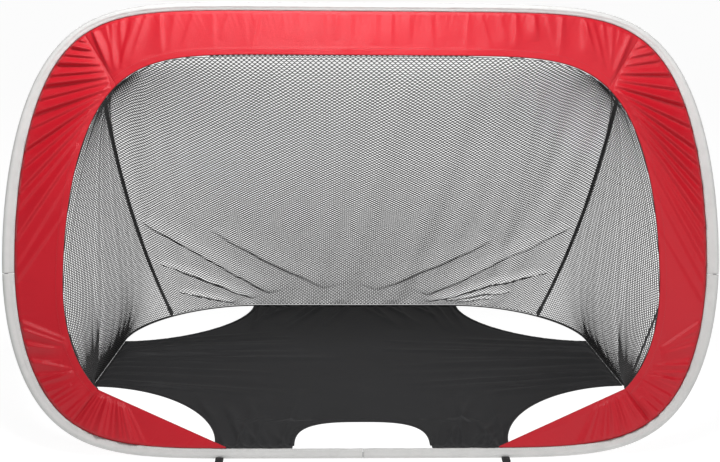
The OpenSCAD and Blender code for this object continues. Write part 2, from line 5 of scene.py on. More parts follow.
import bpy
import numpy as np
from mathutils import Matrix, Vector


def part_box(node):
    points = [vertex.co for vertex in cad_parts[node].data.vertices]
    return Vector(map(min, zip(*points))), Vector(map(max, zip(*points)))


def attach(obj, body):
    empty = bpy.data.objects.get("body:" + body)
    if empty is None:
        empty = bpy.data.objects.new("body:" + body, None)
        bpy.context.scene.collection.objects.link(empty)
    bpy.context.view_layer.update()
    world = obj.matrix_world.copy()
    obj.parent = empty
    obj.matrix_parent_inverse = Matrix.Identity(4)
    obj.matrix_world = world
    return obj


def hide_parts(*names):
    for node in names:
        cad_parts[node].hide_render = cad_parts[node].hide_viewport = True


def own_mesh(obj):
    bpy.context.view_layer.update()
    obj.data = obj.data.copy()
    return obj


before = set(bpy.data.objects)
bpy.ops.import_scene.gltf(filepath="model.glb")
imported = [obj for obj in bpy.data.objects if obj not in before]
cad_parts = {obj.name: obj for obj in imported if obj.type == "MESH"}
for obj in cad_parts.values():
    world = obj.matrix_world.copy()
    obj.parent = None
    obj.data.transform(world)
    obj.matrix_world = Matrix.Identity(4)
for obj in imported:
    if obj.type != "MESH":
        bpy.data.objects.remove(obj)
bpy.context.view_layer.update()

bl_info = {
    "name": "Pop-up Goal Net",
    "version": (1, 0, 0),
    "blender": (4, 5, 0),
    "location": "3D View > Sidebar > Goal Net",
    "description": "Builds the cloth, nets, webbing and finishes of a pop-up goal net round its frame",
    "category": "Add Mesh",
}

MM = 0.001
LEFT, RIGHT = -1, 1
SIDES = {"left": LEFT, "right": RIGHT}
X_WAY = np.array([1.0, 0, 0])


# ---------- sizes and colours ----------


def length(label, text, default):
    return bpy.props.FloatProperty(
        name=label, description=text, default=default, min=0.0, unit="LENGTH", precision=4
    )


def tone(label, text, default):
    return bpy.props.FloatVectorProperty(
        name=label, description=text, default=default, size=3, min=0.0, max=1.0, subtype="COLOR"
    )


class GoalSizes(bpy.types.PropertyGroup):
    hoop_w: length("Hoop width", "Outer width of the hoop", 1.2)
    hoop_h: length("Hoop height", "Height of the hoop in its own leaning plane", 0.762)
    hoop_widest: length("Widest height", "Height at which the hoop is widest", 0.33)
    lean: bpy.props.FloatProperty(
        name="Lean", description="Backward lean of the hoop", default=math.radians(15), subtype="ANGLE"
    )
    sleeve_w: length("Sleeve width", "Hoop's outer edge to the sleeve's seam", 0.02)
    sleeve_top_w: length("Sleeve at the top", "From the hoop's edge to its seam over the top", 0.013)
    sleeve_low_w: length("Sleeve at the bottom", "From the hoop's edge to its seam under the bottom", 0.0165)
    side_band_w: length("Side bands", "Width of the side bands with their sleeve", 0.1)
    top_band_h: length("Top band", "Height of the top band with its sleeve", 0.087)
    band_fold: length("Band folds", "Height of the deepest gathers in the bands", 0.012)
    net_cell: length("Mesh width", "Width of one hole of the net", 0.0089)
    net_row: length("Mesh rows", "Distance between two rows of holes", 0.004)
    net_yarn: length("Yarn width", "Width of the net's yarn", 0.00148)
    net_sag: length("Net sag", "How far the back net bags inwards", 0.032)
    floor_wrinkle: length("Floor wrinkles", "Height of the wrinkles in the floor sheet", 0.0125)
    stitch: length("Stitch", "Length of one stitch", 0.0032)


class GoalColours(bpy.types.PropertyGroup):
    band: tone("Bands", "Red cloth round the mouth", (0.48, 0.006, 0.016))
    sleeve: tone("Sleeve", "White cloth round the hoop", (0.57, 0.567, 0.558))
    net: tone("Net", "Knitted yarn", (0.0095, 0.0098, 0.0102))
    floor: tone("Floor sheet", "Black ground cloth", (0.0125, 0.0128, 0.0142))
    webbing: tone("Webbing", "Bindings, tapes and loops", (0.008, 0.008, 0.009))
    moulding: tone("Mouldings", "Caps on the struts", (0.01, 0.01, 0.011))
    steel: tone("Spring", "Sprung steel of the hoop", (0.3, 0.31, 0.33))
    ground: tone("Ground", "Studio floor", (0.22, 0.22, 0.22))


# ---------- numbers and lines ----------


def mix(a, b, t):
    return a + (b - a) * t


def unit(v):
    return v / np.linalg.norm(v, axis=-1, keepdims=True)


def column(v):
    return np.asarray(v, float)[..., None]


def stacked(*axes):
    return np.stack(np.broadcast_arrays(*axes), -1)


def mirror(p, side):
    return p * np.array([side, 1, 1])


def ramp(x, reach):
    """0 up to 0, 1 from reach on, straight between."""
    return np.clip(x / reach, 0, 1)


def bell(x, middle, width):
    return np.exp(-(((x - middle) / width) ** 2))


def waves(x, pitches, seed):
    """Sines of the given pitches along x, each with its own phase, to a sum within -1 and 1."""
    phase = np.random.default_rng(seed).uniform(0, 2 * math.pi, len(pitches))
    return sum(np.sin(2 * math.pi * x / p + a) for p, a in zip(pitches, phase)) / len(pitches)


def swell(x, pitches, seed):
    """Waves between 0 and 1."""
    return 0.5 + 0.5 * waves(x, pitches, seed)


def full_turn(count):
    return np.linspace(0, 2 * math.pi, count, endpoint=False)


def run_along(line):
    """Distance along a line of points, at each of them."""
    return np.concatenate([[0], np.cumsum(np.linalg.norm(np.diff(line, axis=0), axis=-1))])


def points_at(line, run, at):
    """Points of a line at given distances along it."""
    return stacked(*(np.interp(at, run, line[:, k]) for k in range(3)))


def around(centre, first, second, radius, turn):
    """Points round a centre: radius by cosine along a first direction and by sine along a second."""
    return centre + first * column(radius * np.cos(turn)) + second * column(radius * np.sin(turn))


def grid_area(p):
    """Area of a grid of points, by its cells' diagonals."""
    a, b = p[1:, 1:] - p[:-1, :-1], p[1:, :-1] - p[:-1, 1:]
    if p.shape[-1] == 2:
        return float(np.abs(a[..., 0] * b[..., 1] - a[..., 1] * b[..., 0]).sum() / 2)
    return float(np.linalg.norm(np.cross(a, b), axis=-1).sum() / 2)


def spanned(top, bottom, first, last, power, t, s):
    """A surface between four edges: top to bottom by t, pulled at each side onto that edge by (1 - s)
    and s to a power. t and s are arrays of one shape."""
    zero, one = np.zeros_like(s), np.ones_like(s)
    tt, ss = t[..., None], s[..., None]
    ruled = mix(top(s), bottom(s), tt)
    at_first = first(t) - mix(top(zero), bottom(zero), tt)
    at_last = last(t) - mix(top(one), bottom(one), tt)
    return ruled + at_first * (1 - ss) ** power + at_last * ss**power


def fold(p, start, end, narrow, wide, height, skew, fade):
    """A soft ridge on the line from start to end: height times a bell across it, whose width grows
    from narrow to wide (in millimetres), and which fades at both ends. skew steepens one flank."""
    start, end = np.asarray(start, float), np.asarray(end, float)
    way = end - start
    span = np.linalg.norm(way)
    way = way / span
    off = p - start
    along = (off @ way) / span
    across = off[..., 0] * -way[1] + off[..., 1] * way[0]
    t = np.clip(along, 0, 1)
    half = mix(narrow * MM, wide * MM, t)
    width = half * (1 + skew * np.tanh(across / (0.5 * half)))
    ends = np.where((along > 0) & (along < 1), t ** fade[0] * (1 - t) ** fade[1], 0)
    return height * ends * np.exp(-np.abs(across / width) ** 1.6)


class Plan:
    """The goal's lines, as the frame has them. Angles go round each outline in degrees from +X."""

    def __init__(self, g):
        self.g = g
        self.lean = g.lean
        self.up = np.array([0, math.sin(g.lean), math.cos(g.lean)])
        self.front = np.array([0, -math.cos(g.lean), math.sin(g.lean)])
        self.sleeve_r = 6 * MM
        self.gap = 0.3 * MM
        self.front_reach = 20 * MM
        self.tape_in = 1.8 * MM
        self.foot_tape = 5 * MM
        self.net_depth = 768 * MM
        self.goal_y = (self.front_reach - self.net_depth - self.tape_in - self.foot_tape) / 2
        self.foot_z = self.sleeve_r * (1 - math.cos(self.lean))
        self.mouth_a = g.hoop_w / 2 - g.side_band_w
        self.mouth_top = g.hoop_h - g.top_band_h
        self.mouth_widest = 290 * MM
        self.mouth_drop = 228 * MM
        self.upper_seam, self.upper_seam_in = 38.0, 34.5
        self.lower_seam, self.lower_seam_in, self.lower_tip = -34.6, -28.1, -67.6
        self.hem_seam = 11.2 * MM
        self.net_behind = 3.2 * MM
        self.rear_half, self.arm_half, self.arm_front_half = 243 * MM, 504 * MM, 518 * MM
        self.arm_front_y = self.goal_y + 296 * MM
        self.arm_back_y = self.goal_y + 533 * MM
        self.rear_y = self.goal_y + self.net_depth
        self.gap_half, self.gap_top = 118 * MM, self.goal_y + 138 * MM
        self.tab_y, self.tab_half = self.goal_y + 45 * MM, self.rear_half + 9 * MM
        self.tab_front_y = self.goal_y + 8.8 * MM
        self.scallop, self.cut_power = 1.85, 3.0
        self.hem_out = self.tape_in + self.foot_tape / 2
        self.hem_z = 3.5 * MM
        self.strut_turn = 45.0
        self.bow = 24 * MM
        # Each strut's turn round the hoop, its ball's diameter and its pocket's tilt in degrees.
        self.pockets = {"rear": (39.4, 10 * MM, 30), "side": (6.3, 8 * MM, 22)}
        self.sock_r = {"rear": 5.1 * MM, "side": 4.6 * MM}
        self.rear_top, self.side_top = (self.ball(*self.pockets[kind][:2]) for kind in ("rear", "side"))
        tape_edge = self.tape_in + self.foot_tape
        rear = self.rear_corner(tape_edge + 0.7 * MM + self.sock_r["rear"], self.strut_turn)
        self.rear_foot = np.array([*rear, self.sock_r["rear"]])
        side_x = self.arm_front_half + tape_edge + 0.7 * MM + self.sock_r["side"]
        self.side_foot = np.array([side_x, self.arm_front_y, self.sock_r["side"]])
        self.mouth_corner = self.standing(self.mouth_edge(self.upper_seam_in), self.net_behind)
        self.hem_corner = self.grounded(self.rear_corner(self.hem_out, self.strut_turn))
        self.lower_corner = self.mouth_edge(self.lower_seam_in)
        self.lower_end = self.sewn(self.lower_tip, self.gap) + [0, 2.5 * MM]

    def oval(self, a, h, up, down, angle):
        """Half width a by cosine; above and below h by the root of one less cosine to the seventh."""
        turn = np.radians(angle)
        c, s = np.cos(turn), np.sin(turn)
        rise = np.sqrt(np.maximum(0, 1 - np.abs(c) ** 7))
        return stacked(a * c, h + np.where(s >= 0, up, -down) * rise)

    def hoop_edge(self, angle):
        g = self.g
        return self.oval(g.hoop_w / 2, g.hoop_widest, g.hoop_h - g.hoop_widest, g.hoop_widest, angle)

    def mouth_edge(self, angle):
        up = self.mouth_top - self.mouth_widest
        return self.oval(self.mouth_a, self.mouth_widest, up, self.mouth_drop, angle)

    def outward(self, edge, angle):
        """The direction out of an outline, square to a short chord of it."""
        angle = np.asarray(angle, float)
        d = edge(angle + 0.5) - edge(angle - 0.5)
        return unit(stacked(d[..., 1], -d[..., 0]))

    def inset(self, angle, depth):
        """A point at depth inside the hoop's edge."""
        return self.hoop_edge(angle) - column(depth) * self.outward(self.hoop_edge, angle)

    def sleeve_at(self, angle):
        """The sleeve's width: it narrows round the hoop's corners by one less cosine to the seventh."""
        turn = np.radians(angle)
        over = np.where(np.sin(turn) > 0, self.g.sleeve_top_w, self.g.sleeve_low_w)
        return mix(self.g.sleeve_w, over, 1 - np.abs(np.cos(turn)) ** 7)

    def sewn(self, angle, more):
        """A point at the sleeve's seam, or more inside it."""
        return self.inset(angle, self.sleeve_at(angle) + more)

    def standing(self, p, behind):
        """From the hoop's plane, and a distance behind it, to the ground's frame."""
        p = np.asarray(p, float)
        s, c = math.sin(self.lean), math.cos(self.lean)
        y = self.goal_y + p[..., 1] * s + behind * c
        return stacked(p[..., 0], y, self.foot_z + p[..., 1] * c - behind * s)

    def ball(self, angle, d):
        """Centre of a strut's ball behind the band, near the sleeve's seam."""
        return self.standing(self.inset(angle, self.g.sleeve_w + 8 * MM), 3.2 * MM + d / 2)

    def rear_corner(self, out, turn):
        """The net's foot round a rear corner, moved out: powers of cosine and sine of the turn."""
        turn = np.radians(turn)
        power = 2 / self.scallop
        c, s = np.maximum(0, np.cos(turn)), np.maximum(0, np.sin(turn))
        x = self.rear_half + (self.arm_half - self.rear_half + out) * c**power
        return stacked(x, self.arm_back_y + (self.rear_y - self.arm_back_y + out) * s**power)

    def grounded(self, p):
        """A point of the ground's plan at the height of the net's hem."""
        p = np.asarray(p, float)
        return stacked(p[..., 0], p[..., 1], self.hem_z)

    def rear_strut(self, t):
        """The bowed line of a rear strut, from its ball to its foot: a chord and a parabola outwards."""
        t = column(t)
        return mix(self.rear_top, self.rear_foot, t) + 4 * self.bow * X_WAY * t * (1 - t)

    def net_seam(self, t):
        """The seam beside the rear strut, eased onto the mouth's corner and onto the net's foot."""

        def ease(start, end):
            return column(np.clip((np.asarray(t, float) - start) / (end - start), 0, 1) ** 2)

        beside = 5.7 * MM * unit(np.array([-1, -0.8, -0.6]))
        top_miss = self.mouth_corner - self.rear_top - beside
        foot_miss = self.hem_corner - self.rear_foot - beside
        return self.rear_strut(t) + beside + top_miss * ease(0.3, 0) + foot_miss * ease(0.85, 1)


# ---------- meshes ----------


def quads(rows, cols, shift=0, closed=False):
    """Faces of a grid of points; closed joins its last column to its first."""
    i, j = np.meshgrid(np.arange(rows - 1), np.arange(cols if closed else cols - 1), indexing="ij")
    i, j = i.ravel() * cols, j.ravel()
    m = (j + 1) % cols
    return np.stack([i + j, i + m, i + cols + m, i + cols + j], -1) + shift


def volume(points, faces):
    """Six times the signed volume inside the faces, for which way they point."""
    a, b, c, d = (points[faces[:, n]] for n in range(4))
    one = np.einsum("ij,ij->i", a, np.cross(b, c)).sum()
    return one + np.einsum("ij,ij->i", a, np.cross(c, d)).sum()


def piece(name, points, faces, body="goal", closed=True, uv=None, smooth=True):
    """A mesh object at the origin, faces outwards, riding on a body of the frame."""
    points = np.ascontiguousarray(points.reshape(-1, 3), float)
    if closed and volume(points, faces) < 0:
        faces = faces[:, ::-1]
    mesh = bpy.data.meshes.new(name)
    mesh.vertices.add(len(points))
    mesh.vertices.foreach_set("co", points.ravel())
    mesh.loops.add(faces.size)
    mesh.loops.foreach_set("vertex_index", faces.ravel())
    mesh.polygons.add(len(faces))
    mesh.polygons.foreach_set("loop_start", np.arange(0, faces.size, 4))
    mesh.polygons.foreach_set("use_smooth", np.full(len(faces), smooth))
    mesh.update(calc_edges=True)
    if uv is not None:
        layer = mesh.uv_layers.new(name="OFBake")
        layer.data.foreach_set("uv", uv.reshape(-1, 2)[faces.ravel()].ravel())
    obj = bpy.data.objects.new(name, mesh)
    bpy.context.collection.objects.link(obj)
    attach(obj, body)
    return obj


def dress(obj, finish, node=None):
    """Gives a piece its finish in a slot, and hides the node of the frame that it stands for, if any."""
    obj.data.materials.clear()
    obj.data.materials.append(FINISHES[finish])
    if node:
        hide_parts(node)
    return obj


def webbing_piece(name, mesh, node=None, body="goal"):
    return dress(piece(name, *mesh, body), "webbing", node)


def squash_back(obj, plan):
    """Gives a piece its own copy of its mesh."""
    anchor = plan.standing(np.array([0.0, 0.35]), np.array(2.0 * MM))
    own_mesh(obj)


def cloth_wall(front, back):
    """Two grids of points, joined round their rim into one closed sheet of cloth."""
    rows, cols = front.shape[:2]
    n = rows * cols
    right, left = np.arange(1, rows) * cols + cols - 1, np.arange(rows - 2, 0, -1) * cols
    edge = np.concatenate([np.arange(cols), right, (rows - 1) * cols + np.arange(cols - 2, -1, -1), left])
    following = np.roll(edge, -1)
    rim = np.stack([following, edge, edge + n, following + n], -1)
    faces = np.concatenate([quads(rows, cols), quads(rows, cols, n)[:, ::-1], rim])
    return np.concatenate([front.reshape(-1, 3), back.reshape(-1, 3)]), faces


def shell(outer, inner, pole=False):
    """Two walls of rings round one line, joined at the last ring, and at the first one too unless each
    wall closes there by a pole."""
    rows, cols = outer.shape[:2]
    n, last = rows * cols, (rows - 1) * cols
    j = np.arange(cols)
    k = np.roll(j, -1)
    points = [outer.reshape(-1, 3), inner.reshape(-1, 3)]
    faces = [
        quads(rows, cols, closed=True),
        quads(rows, cols, n, closed=True)[:, ::-1],
        np.stack([j + last, k + last, k + last + n, j + last + n], -1),
    ]
    if pole:
        points += [outer[:1].mean(1), inner[:1].mean(1)]
        tip = np.full(cols // 2, 2 * n)
        faces.append(np.stack([j[::2], k[::2], k[1::2], tip], -1))
        faces.append(np.stack([tip + 1, k[1::2] + n, k[::2] + n, j[::2] + n], -1))
    else:
        faces.append(np.stack([k, j, j + n, k + n], -1))
    return np.concatenate(points), np.concatenate(faces)


def stitches(line, up, wide, high, pitch):
    """Stitches along a line of points: each a little six-sided bead, longer than wide, pressed into the
    cloth. up is the cloth's normal."""
    run = run_along(line)
    count = max(2, int(run[-1] / pitch))
    at = (np.arange(count) + 0.5) * run[-1] / count
    middle = points_at(line, run, at)
    tan = unit(points_at(line, run, at + 0.2 * pitch) - points_at(line, run, at - 0.2 * pitch))
    side = np.cross(up, tan)
    sides = 6
    rings = []
    for place, size in ((-0.36, 0.45), (-0.16, 1.0), (0.16, 1.0), (0.36, 0.45)):
        centre = (middle + tan * place * pitch)[:, None]
        rings.append(around(centre, side[:, None] * wide / 2, up * high / 2, size, full_turn(sides)))
    last = 3 * sides
    caps = np.array([[0, 1, 2, 3], [0, 3, 4, 5], [0, 3, 2, 1], [0, 5, 4, 3]])
    caps[2:] += last
    one = np.concatenate([quads(4, sides, closed=True), caps])
    faces = (one[None] + np.arange(count)[:, None, None] * 4 * sides).reshape(-1, 4)
    return np.stack(rings, 1).reshape(-1, 3), faces


def cord(line, d, sides):
    """A thin round cord along a line of points, each end closed onto its middle."""
    tan = unit(np.gradient(line, axis=0))
    side = unit(np.cross(tan, np.array([0.0, 0.2, 1.0])))
    rings = around(line[:, None], side[:, None], np.cross(side, tan)[:, None], d / 2, full_turn(sides))
    first, last = (np.repeat(r.mean(1, keepdims=True), sides, 1) for r in (rings[:1], rings[-1:]))
    grid = np.concatenate([first, rings, last])
    return grid.reshape(-1, 3), quads(len(grid), sides, closed=True)


def joined(parts):
    """Several (points, faces) as one."""
    points, faces = zip(*parts)
    shifts = np.cumsum([0] + [len(p) for p in points[:-1]])
    return np.concatenate(points), np.concatenate([f + shift for f, shift in zip(faces, shifts)])


# ---------- shader maths ----------


class Link:
    """A socket with Python's sums and products, which become Math nodes."""

    def __init__(self, finish, socket):
        self.finish, self.socket = finish, socket

    def math(self, operation, *values):
        return self.finish.node("ShaderNodeMath", {"operation": operation}, dict(enumerate(values)))

    def __add__(self, other):
        return self.math("ADD", self, other)

    def __sub__(self, other):
        return self.math("SUBTRACT", self, other)

    def __rsub__(self, other):
        return self.math("SUBTRACT", other, self)

    def __mul__(self, other):
        return self.math("MULTIPLY", self, other)

    __radd__, __rmul__ = __add__, __mul__

    def wave(self):
        """A sine raised to between 0 and 1."""
        return self.math("SINE", self) * 0.5 + 0.5

    def within(self, low, high):
        """0 below low, 1 above high, smooth between."""
        reach = {"Value": self, "From Min": low, "From Max": high, "To Min": 0.0, "To Max": 1.0}
        return self.finish.node("ShaderNodeMapRange", {"interpolation_type": "SMOOTHSTEP"}, reach)


class Finish:
    """One procedural material."""

    def __init__(self, name):
        self.mat = bpy.data.materials.new(name)
        self.mat.use_nodes = True
        self.tree = self.mat.node_tree
        self.tree.nodes.clear()
        self.shader = self.tree.nodes.new("ShaderNodeBsdfPrincipled")
        out = self.tree.nodes.new("ShaderNodeOutputMaterial")
        self.tree.links.new(self.shader.outputs[0], out.inputs[0])

    def feed(self, node, values):
        """Links a node's inputs, or sets those that are given as plain values."""
        for key, value in values.items():
            if isinstance(value, Link):
                self.tree.links.new(value.socket, node.inputs[key])
            else:
                node.inputs[key].default_value = value

    def node(self, kind, settings=None, values=None, output=0):
        made = self.tree.nodes.new(kind)
        for key, value in (settings or {}).items():
            setattr(made, key, value)
        self.feed(made, values or {})
        return Link(self, made.outputs[output])

    def place(self):
        """Object coordinates."""
        return self.node("ShaderNodeTexCoord", output=3)

    def axes(self):
        split = self.node("ShaderNodeSeparateXYZ", values={0: self.place()}).socket.node
        return [Link(self, split.outputs[n]) for n in range(3)]

    def noise(self, scale, detail=3.0, rough=0.5, stretch=None):
        vector = self.place()
        if stretch:
            vector = self.node("ShaderNodeMapping", values={"Vector": vector, "Scale": stretch})
        values = {"Vector": vector, "Scale": scale, "Detail": detail, "Roughness": rough}
        return self.node("ShaderNodeTexNoise", values=values)

    def blend(self, factor, a, b):
        """Colour a to colour b by a factor."""
        return self.node("ShaderNodeMix", {"data_type": "RGBA"}, {0: factor, 6: a, 7: b}, output=2)

    def relief(self, height, distance, strength=1.0, below=None):
        values = {"Height": height, "Distance": distance, "Strength": strength}
        if below:
            values["Normal"] = below
        return self.node("ShaderNodeBump", values=values)

    def weave(self, pitch):
        """A plain weave: the higher of warp and weft, a rounded thread that dives under the other."""
        x, y, z = self.axes()
        k = 2 * math.pi / pitch
        warp = (x * k).wave()
        weft = ((z + y * 0.6) * k).wave()
        return warp * (1 - weft) + weft * (1 - warp)

    def finish(self, colour, rough, **rest):
        """Feeds the shader; an input's name is written with underlines for its spaces."""
        values = {"Base Color": colour, "Roughness": rough}
        values.update({key.replace("_", " "): value for key, value in rest.items()})
        self.feed(self.shader, values)
        return self.mat


def rgba(colour, share=1.0):
    return (*(min(1.0, c * share) for c in colour), 1.0)


# ---------- finishes ----------


def cloth_finish(name, colour, deep, rough, pitch=0.0007, sheen=0.2, slub=0.1, crease=0.0):
    """Woven cloth: plain weave, slubs, a slow random drift of tone, and fine crumples whose hollows are
    darkened towards the deep colour as painted shade.
    """
    f = Finish(name)
    drift = f.noise(6.0, 4.0)
    slubs = f.noise(180.0, 3.0, 0.6, (1.0, 1.0, 6.0))
    crumple = f.noise(38.0, 5.0, 0.55)
    thread = f.weave(pitch)
    shade = drift * 0.6 + slubs * 0.25 + thread * 0.15
    base = f.blend(shade.within(0.25, 0.75), rgba(colour, 1 - slub), rgba(colour, 1 + slub))
    # painted shade: the crumples' hollows darken towards the deep colour
    base = f.blend((1 - crumple).within(0.42, 0.75) * 0.25, base, rgba(deep))
    bump = f.relief(thread, 0.00018, 0.5)
    bump = f.relief(crumple * 0.6 + slubs * 0.4, 0.0009 + crease, 0.5, bump)
    gloss = rough - 0.08 + drift * 0.1 + thread * 0.06
    return f.finish(base, gloss, Normal=bump, Sheen_Weight=sheen, Sheen_Roughness=0.5)


def band_finish(name, colour):
    """The bands' cloth: taffeta, darkened to a painted shadow along its sewn edges by weights that the mesh
    carries.
    """
    f = Finish(name)
    # painted shadow: weights of darkening at the bands' sewn edges, read from the mesh
    edge = f.node("ShaderNodeAttribute", {"attribute_name": "seam_shade"}, output=2)
    drift = f.noise(5.0, 4.0)
    slubs = f.noise(170.0, 3.0, 0.6, (1.0, 1.0, 7.0))
    crumple = f.noise(30.0, 5.0, 0.5)
    thread = f.weave(0.0006)
    shade = drift * 0.55 + slubs * 0.25 + thread * 0.2
    base = f.blend(shade.within(0.25, 0.75), rgba(colour, 0.9), rgba(colour, 1.08))
    # paints the shadow at the sewn edges: the cloth turns dark red by those weights
    base = f.blend(edge, base, rgba((0.09, 0.004, 0.008)))
    bump = f.relief(thread, 0.00016, 0.45)
    bump = f.relief(crumple * 0.7 + slubs * 0.3, 0.0012, 0.5, bump)
    gloss = 0.34 + drift * 0.1 + thread * 0.05
    sheen = {"Sheen_Weight": 0.02, "Sheen_Roughness": 0.35, "Sheen_Tint": (1.0, 0.3, 0.3, 1.0)}
    return f.finish(base, gloss, Normal=bump, Specular_IOR_Level=0.34, **sheen)


def webbing_finish(name, colour, pitch=0.0016):
    """Ribbed webbing: ribs across the run, with a herringbone break, and lighter colour where the ribs and
    fuzz stand highest.
    """
    f = Finish(name)
    x, y, z = f.axes()
    k = 2 * math.pi / pitch
    rib = ((x + y * 0.35 + z * 0.5) * k).wave()
    cross = ((y - x * 0.3 + z * 0.8) * (k * 1.7)).wave()
    fuzz = f.noise(320.0, 3.0, 0.65)
    high = (rib * 0.7 + fuzz * 0.5).within(0.6, 1.1)
    base = f.blend(high * 0.5, rgba(colour), rgba(colour, 3.2))
    bump = f.relief(rib * 0.6 + cross * 0.25 + fuzz * 0.3, 0.0004, 0.6)
    return f.finish(base, 0.62 + fuzz * 0.25, Normal=bump, Sheen_Weight=0.15, Sheen_Roughness=0.4)


def yarn_finish(name, colour):
    """Twisted knitting yarn: slanting strands with a soft fuzz."""
    f = Finish(name)
    x, y, z = f.axes()
    twist = ((x * 1.0 + z * 1.3 + y * 0.8) * 5200.0).wave()
    fuzz = f.noise(900.0, 2.0, 0.6)
    drift = f.noise(9.0, 3.0)
    shade = (twist * 0.4 + fuzz * 0.4 + drift * 0.3).within(0.3, 0.9)
    base = f.blend(shade, rgba(colour, 0.75), rgba(colour, 1.7))
    return f.finish(base, 0.5 + fuzz * 0.25, Normal=f.relief(twist, 0.0003, 0.5), Sheen_Weight=0.1)


def rod_finish(name, colour):
    """Pultruded glassfibre: long fine strands under a thin gloss."""
    f = Finish(name)
    strands = f.noise(700.0, 4.0, 0.6, (1.0, 0.25, 0.05))
    wear = f.noise(60.0, 4.0)
    base = f.blend(strands.within(0.35, 0.7), rgba(colour), rgba(colour, 2.6))
    return f.finish(base, 0.3 + wear * 0.25, Normal=f.relief(strands, 0.0001, 0.4), Coat_Weight=0.25)


def moulded_finish(name, colour):
    """Moulded plastic: fine spark texture, a slight orange peel and rubbed high spots."""
    f = Finish(name)
    spark = f.noise(1400.0, 2.0, 0.6)
    peel = f.noise(150.0, 2.0)
    rub = f.noise(45.0, 5.0, 0.6)
    base = f.blend(rub.within(0.52, 0.75) * 0.5, rgba(colour), rgba(colour, 3.0))
    return f.finish(base, 0.38 + rub * 0.2, Normal=f.relief(spark * 0.5 + peel * 0.5, 0.0002, 0.5))


def steel_finish(name, colour):
    """Drawn spring wire: drawing lines, a dull bloom and darker patches."""
    f = Finish(name)
    bloom = f.noise(40.0, 5.0, 0.6)
    lines = f.noise(900.0, 2.0, 0.6, (0.08, 1.0, 1.0))
    base = f.blend(bloom.within(0.4, 0.7), rgba(colour, 0.55), rgba(colour))
    return f.finish(base, 0.28 + bloom * 0.25, Normal=f.relief(lines, 0.00008, 0.4), Metallic=1.0)


FINISHES = {}


def make_finishes(c):
    # The second colour given to each cloth is the painted shade in its crumples' hollows.
    FINISHES.update(
        sleeve=cloth_finish("sleeve_cloth", c.sleeve, (0.42, 0.42, 0.41), 0.72, slub=0.04),
        band=band_finish("band_cloth", c.band),
        net=yarn_finish("net_yarn", c.net),
        floor=cloth_finish("floor_cloth", c.floor, (0.008, 0.008, 0.009), 0.6, 0.0009, 0.1, 0.2, 0.0006),
        webbing=webbing_finish("webbing", c.webbing),
        strut=cloth_finish("strut_cloth", c.webbing, (0.004, 0.004, 0.004), 0.65, 0.0008, 0.1, 0.25),
        rod=rod_finish("glassfibre", c.moulding),
        cap=moulded_finish("moulded_cap", c.moulding),
        steel=steel_finish("spring_steel", c.steel),
        thread_white=yarn_finish("thread_white", (0.75, 0.75, 0.73)),
        thread_red=yarn_finish("thread_red", (0.34, 0.012, 0.018)),
        thread_black=yarn_finish("thread_black", (0.02, 0.02, 0.02)),
    )


# ---------- the sleeve and the bands ----------


def sleeve_section(plan, inset, width):
    """Offsets (depth, height) of the sleeve's section for each width of it, and how far along its
    flank each lies: an arc round the spring, then flat flanks that close towards the seam."""
    r = plan.sleeve_r - inset
    arc = np.radians(np.linspace(-105, 105, 22))
    bend = stacked(plan.sleeve_r - r * np.cos(arc), r * np.sin(arc))
    u = np.linspace(0, 1, 9)[1:]
    tip = 1.3 * MM - inset * 0.45
    down = mix(bend[-1, 0], width - inset, u[None])
    high = mix(bend[-1, 1], tip, u)
    depth = np.concatenate([np.broadcast_to(bend[:, 0], (len(width), len(bend))), down, down[:, ::-1]], 1)
    share = np.concatenate([np.zeros(len(bend)), u, u[::-1]])
    return depth, np.concatenate([bend[:, 1], high, -high[::-1]])[None], share[None]


def sleeve_length(plan, node, turn):
    """A length of the sleeve: its section carried round the hoop, with short gathers and a slow wave on
    its flanks, and a crease near the middle of each."""
    edge, out = plan.hoop_edge(turn), plan.outward(plan.hoop_edge, turn)
    run = run_along(edge)[:, None]
    walls = []
    for inset in (0.05 * MM, 1.1 * MM):
        depth, high, share = sleeve_section(plan, inset, plan.sleeve_at(turn)[:, None])
        flank = ramp(share, 0.4) * ramp(1.03 - share, 0.25)
        gather = waves(run + 0.3 * depth, (0.0078, 0.0121, 0.019), 31)
        crease = bell(share, 0.42 + 0.05 * waves(run, (0.05, 0.083), 7), 0.09) * (share > 0)
        high = high + np.sign(high) * (0.38 * MM * gather * flank - 0.6 * MM * crease)
        depth = depth + 0.25 * MM * waves(run, (0.043, 0.071), 5) * ramp(share, 0.3)
        walls.append(plan.standing(edge[:, None] - column(depth) * out[:, None], -high))
    obj = dress(piece(node + "_cloth", *shell(*walls)), "sleeve", node)


def sleeve_stitching(plan):
    """A line of stitches along the sleeve's seam, on its front and on its back."""
    turn = np.linspace(0, 360, 1441)
    parts = []
    for behind, up in ((-2.35 * MM, plan.front), (2.35 * MM, -plan.front)):
        line = plan.standing(plan.sewn(turn, -1.9 * MM), behind)
        parts.append(stitches(line, up, 0.7 * MM, 0.5 * MM, plan.g.stitch))
    dress(piece("sleeve_stitching", *joined(parts)), "thread_white")


def band_lines(plan, which):
    """Outer and inner edge of a band as (n, 2) lines, across the top or on the right-hand side."""
    start, stop, start_in, stop_in, rows = {
        "top": (180 - plan.upper_seam, plan.upper_seam, 180 - plan.upper_seam_in, plan.upper_seam_in, 520),
        "side": (plan.upper_seam, plan.lower_seam, plan.upper_seam_in, plan.lower_seam_in, 540),
        "lower": (plan.lower_seam, plan.lower_tip, None, None, 260),
    }[which]
    t = np.linspace(0, 1, rows)
    outer = plan.sewn(mix(start, stop, t), plan.gap)
    if which == "lower":
        return outer, mix(plan.lower_corner, plan.lower_end, t[:, None])
    return outer, plan.mouth_edge(mix(start_in, stop_in, t))


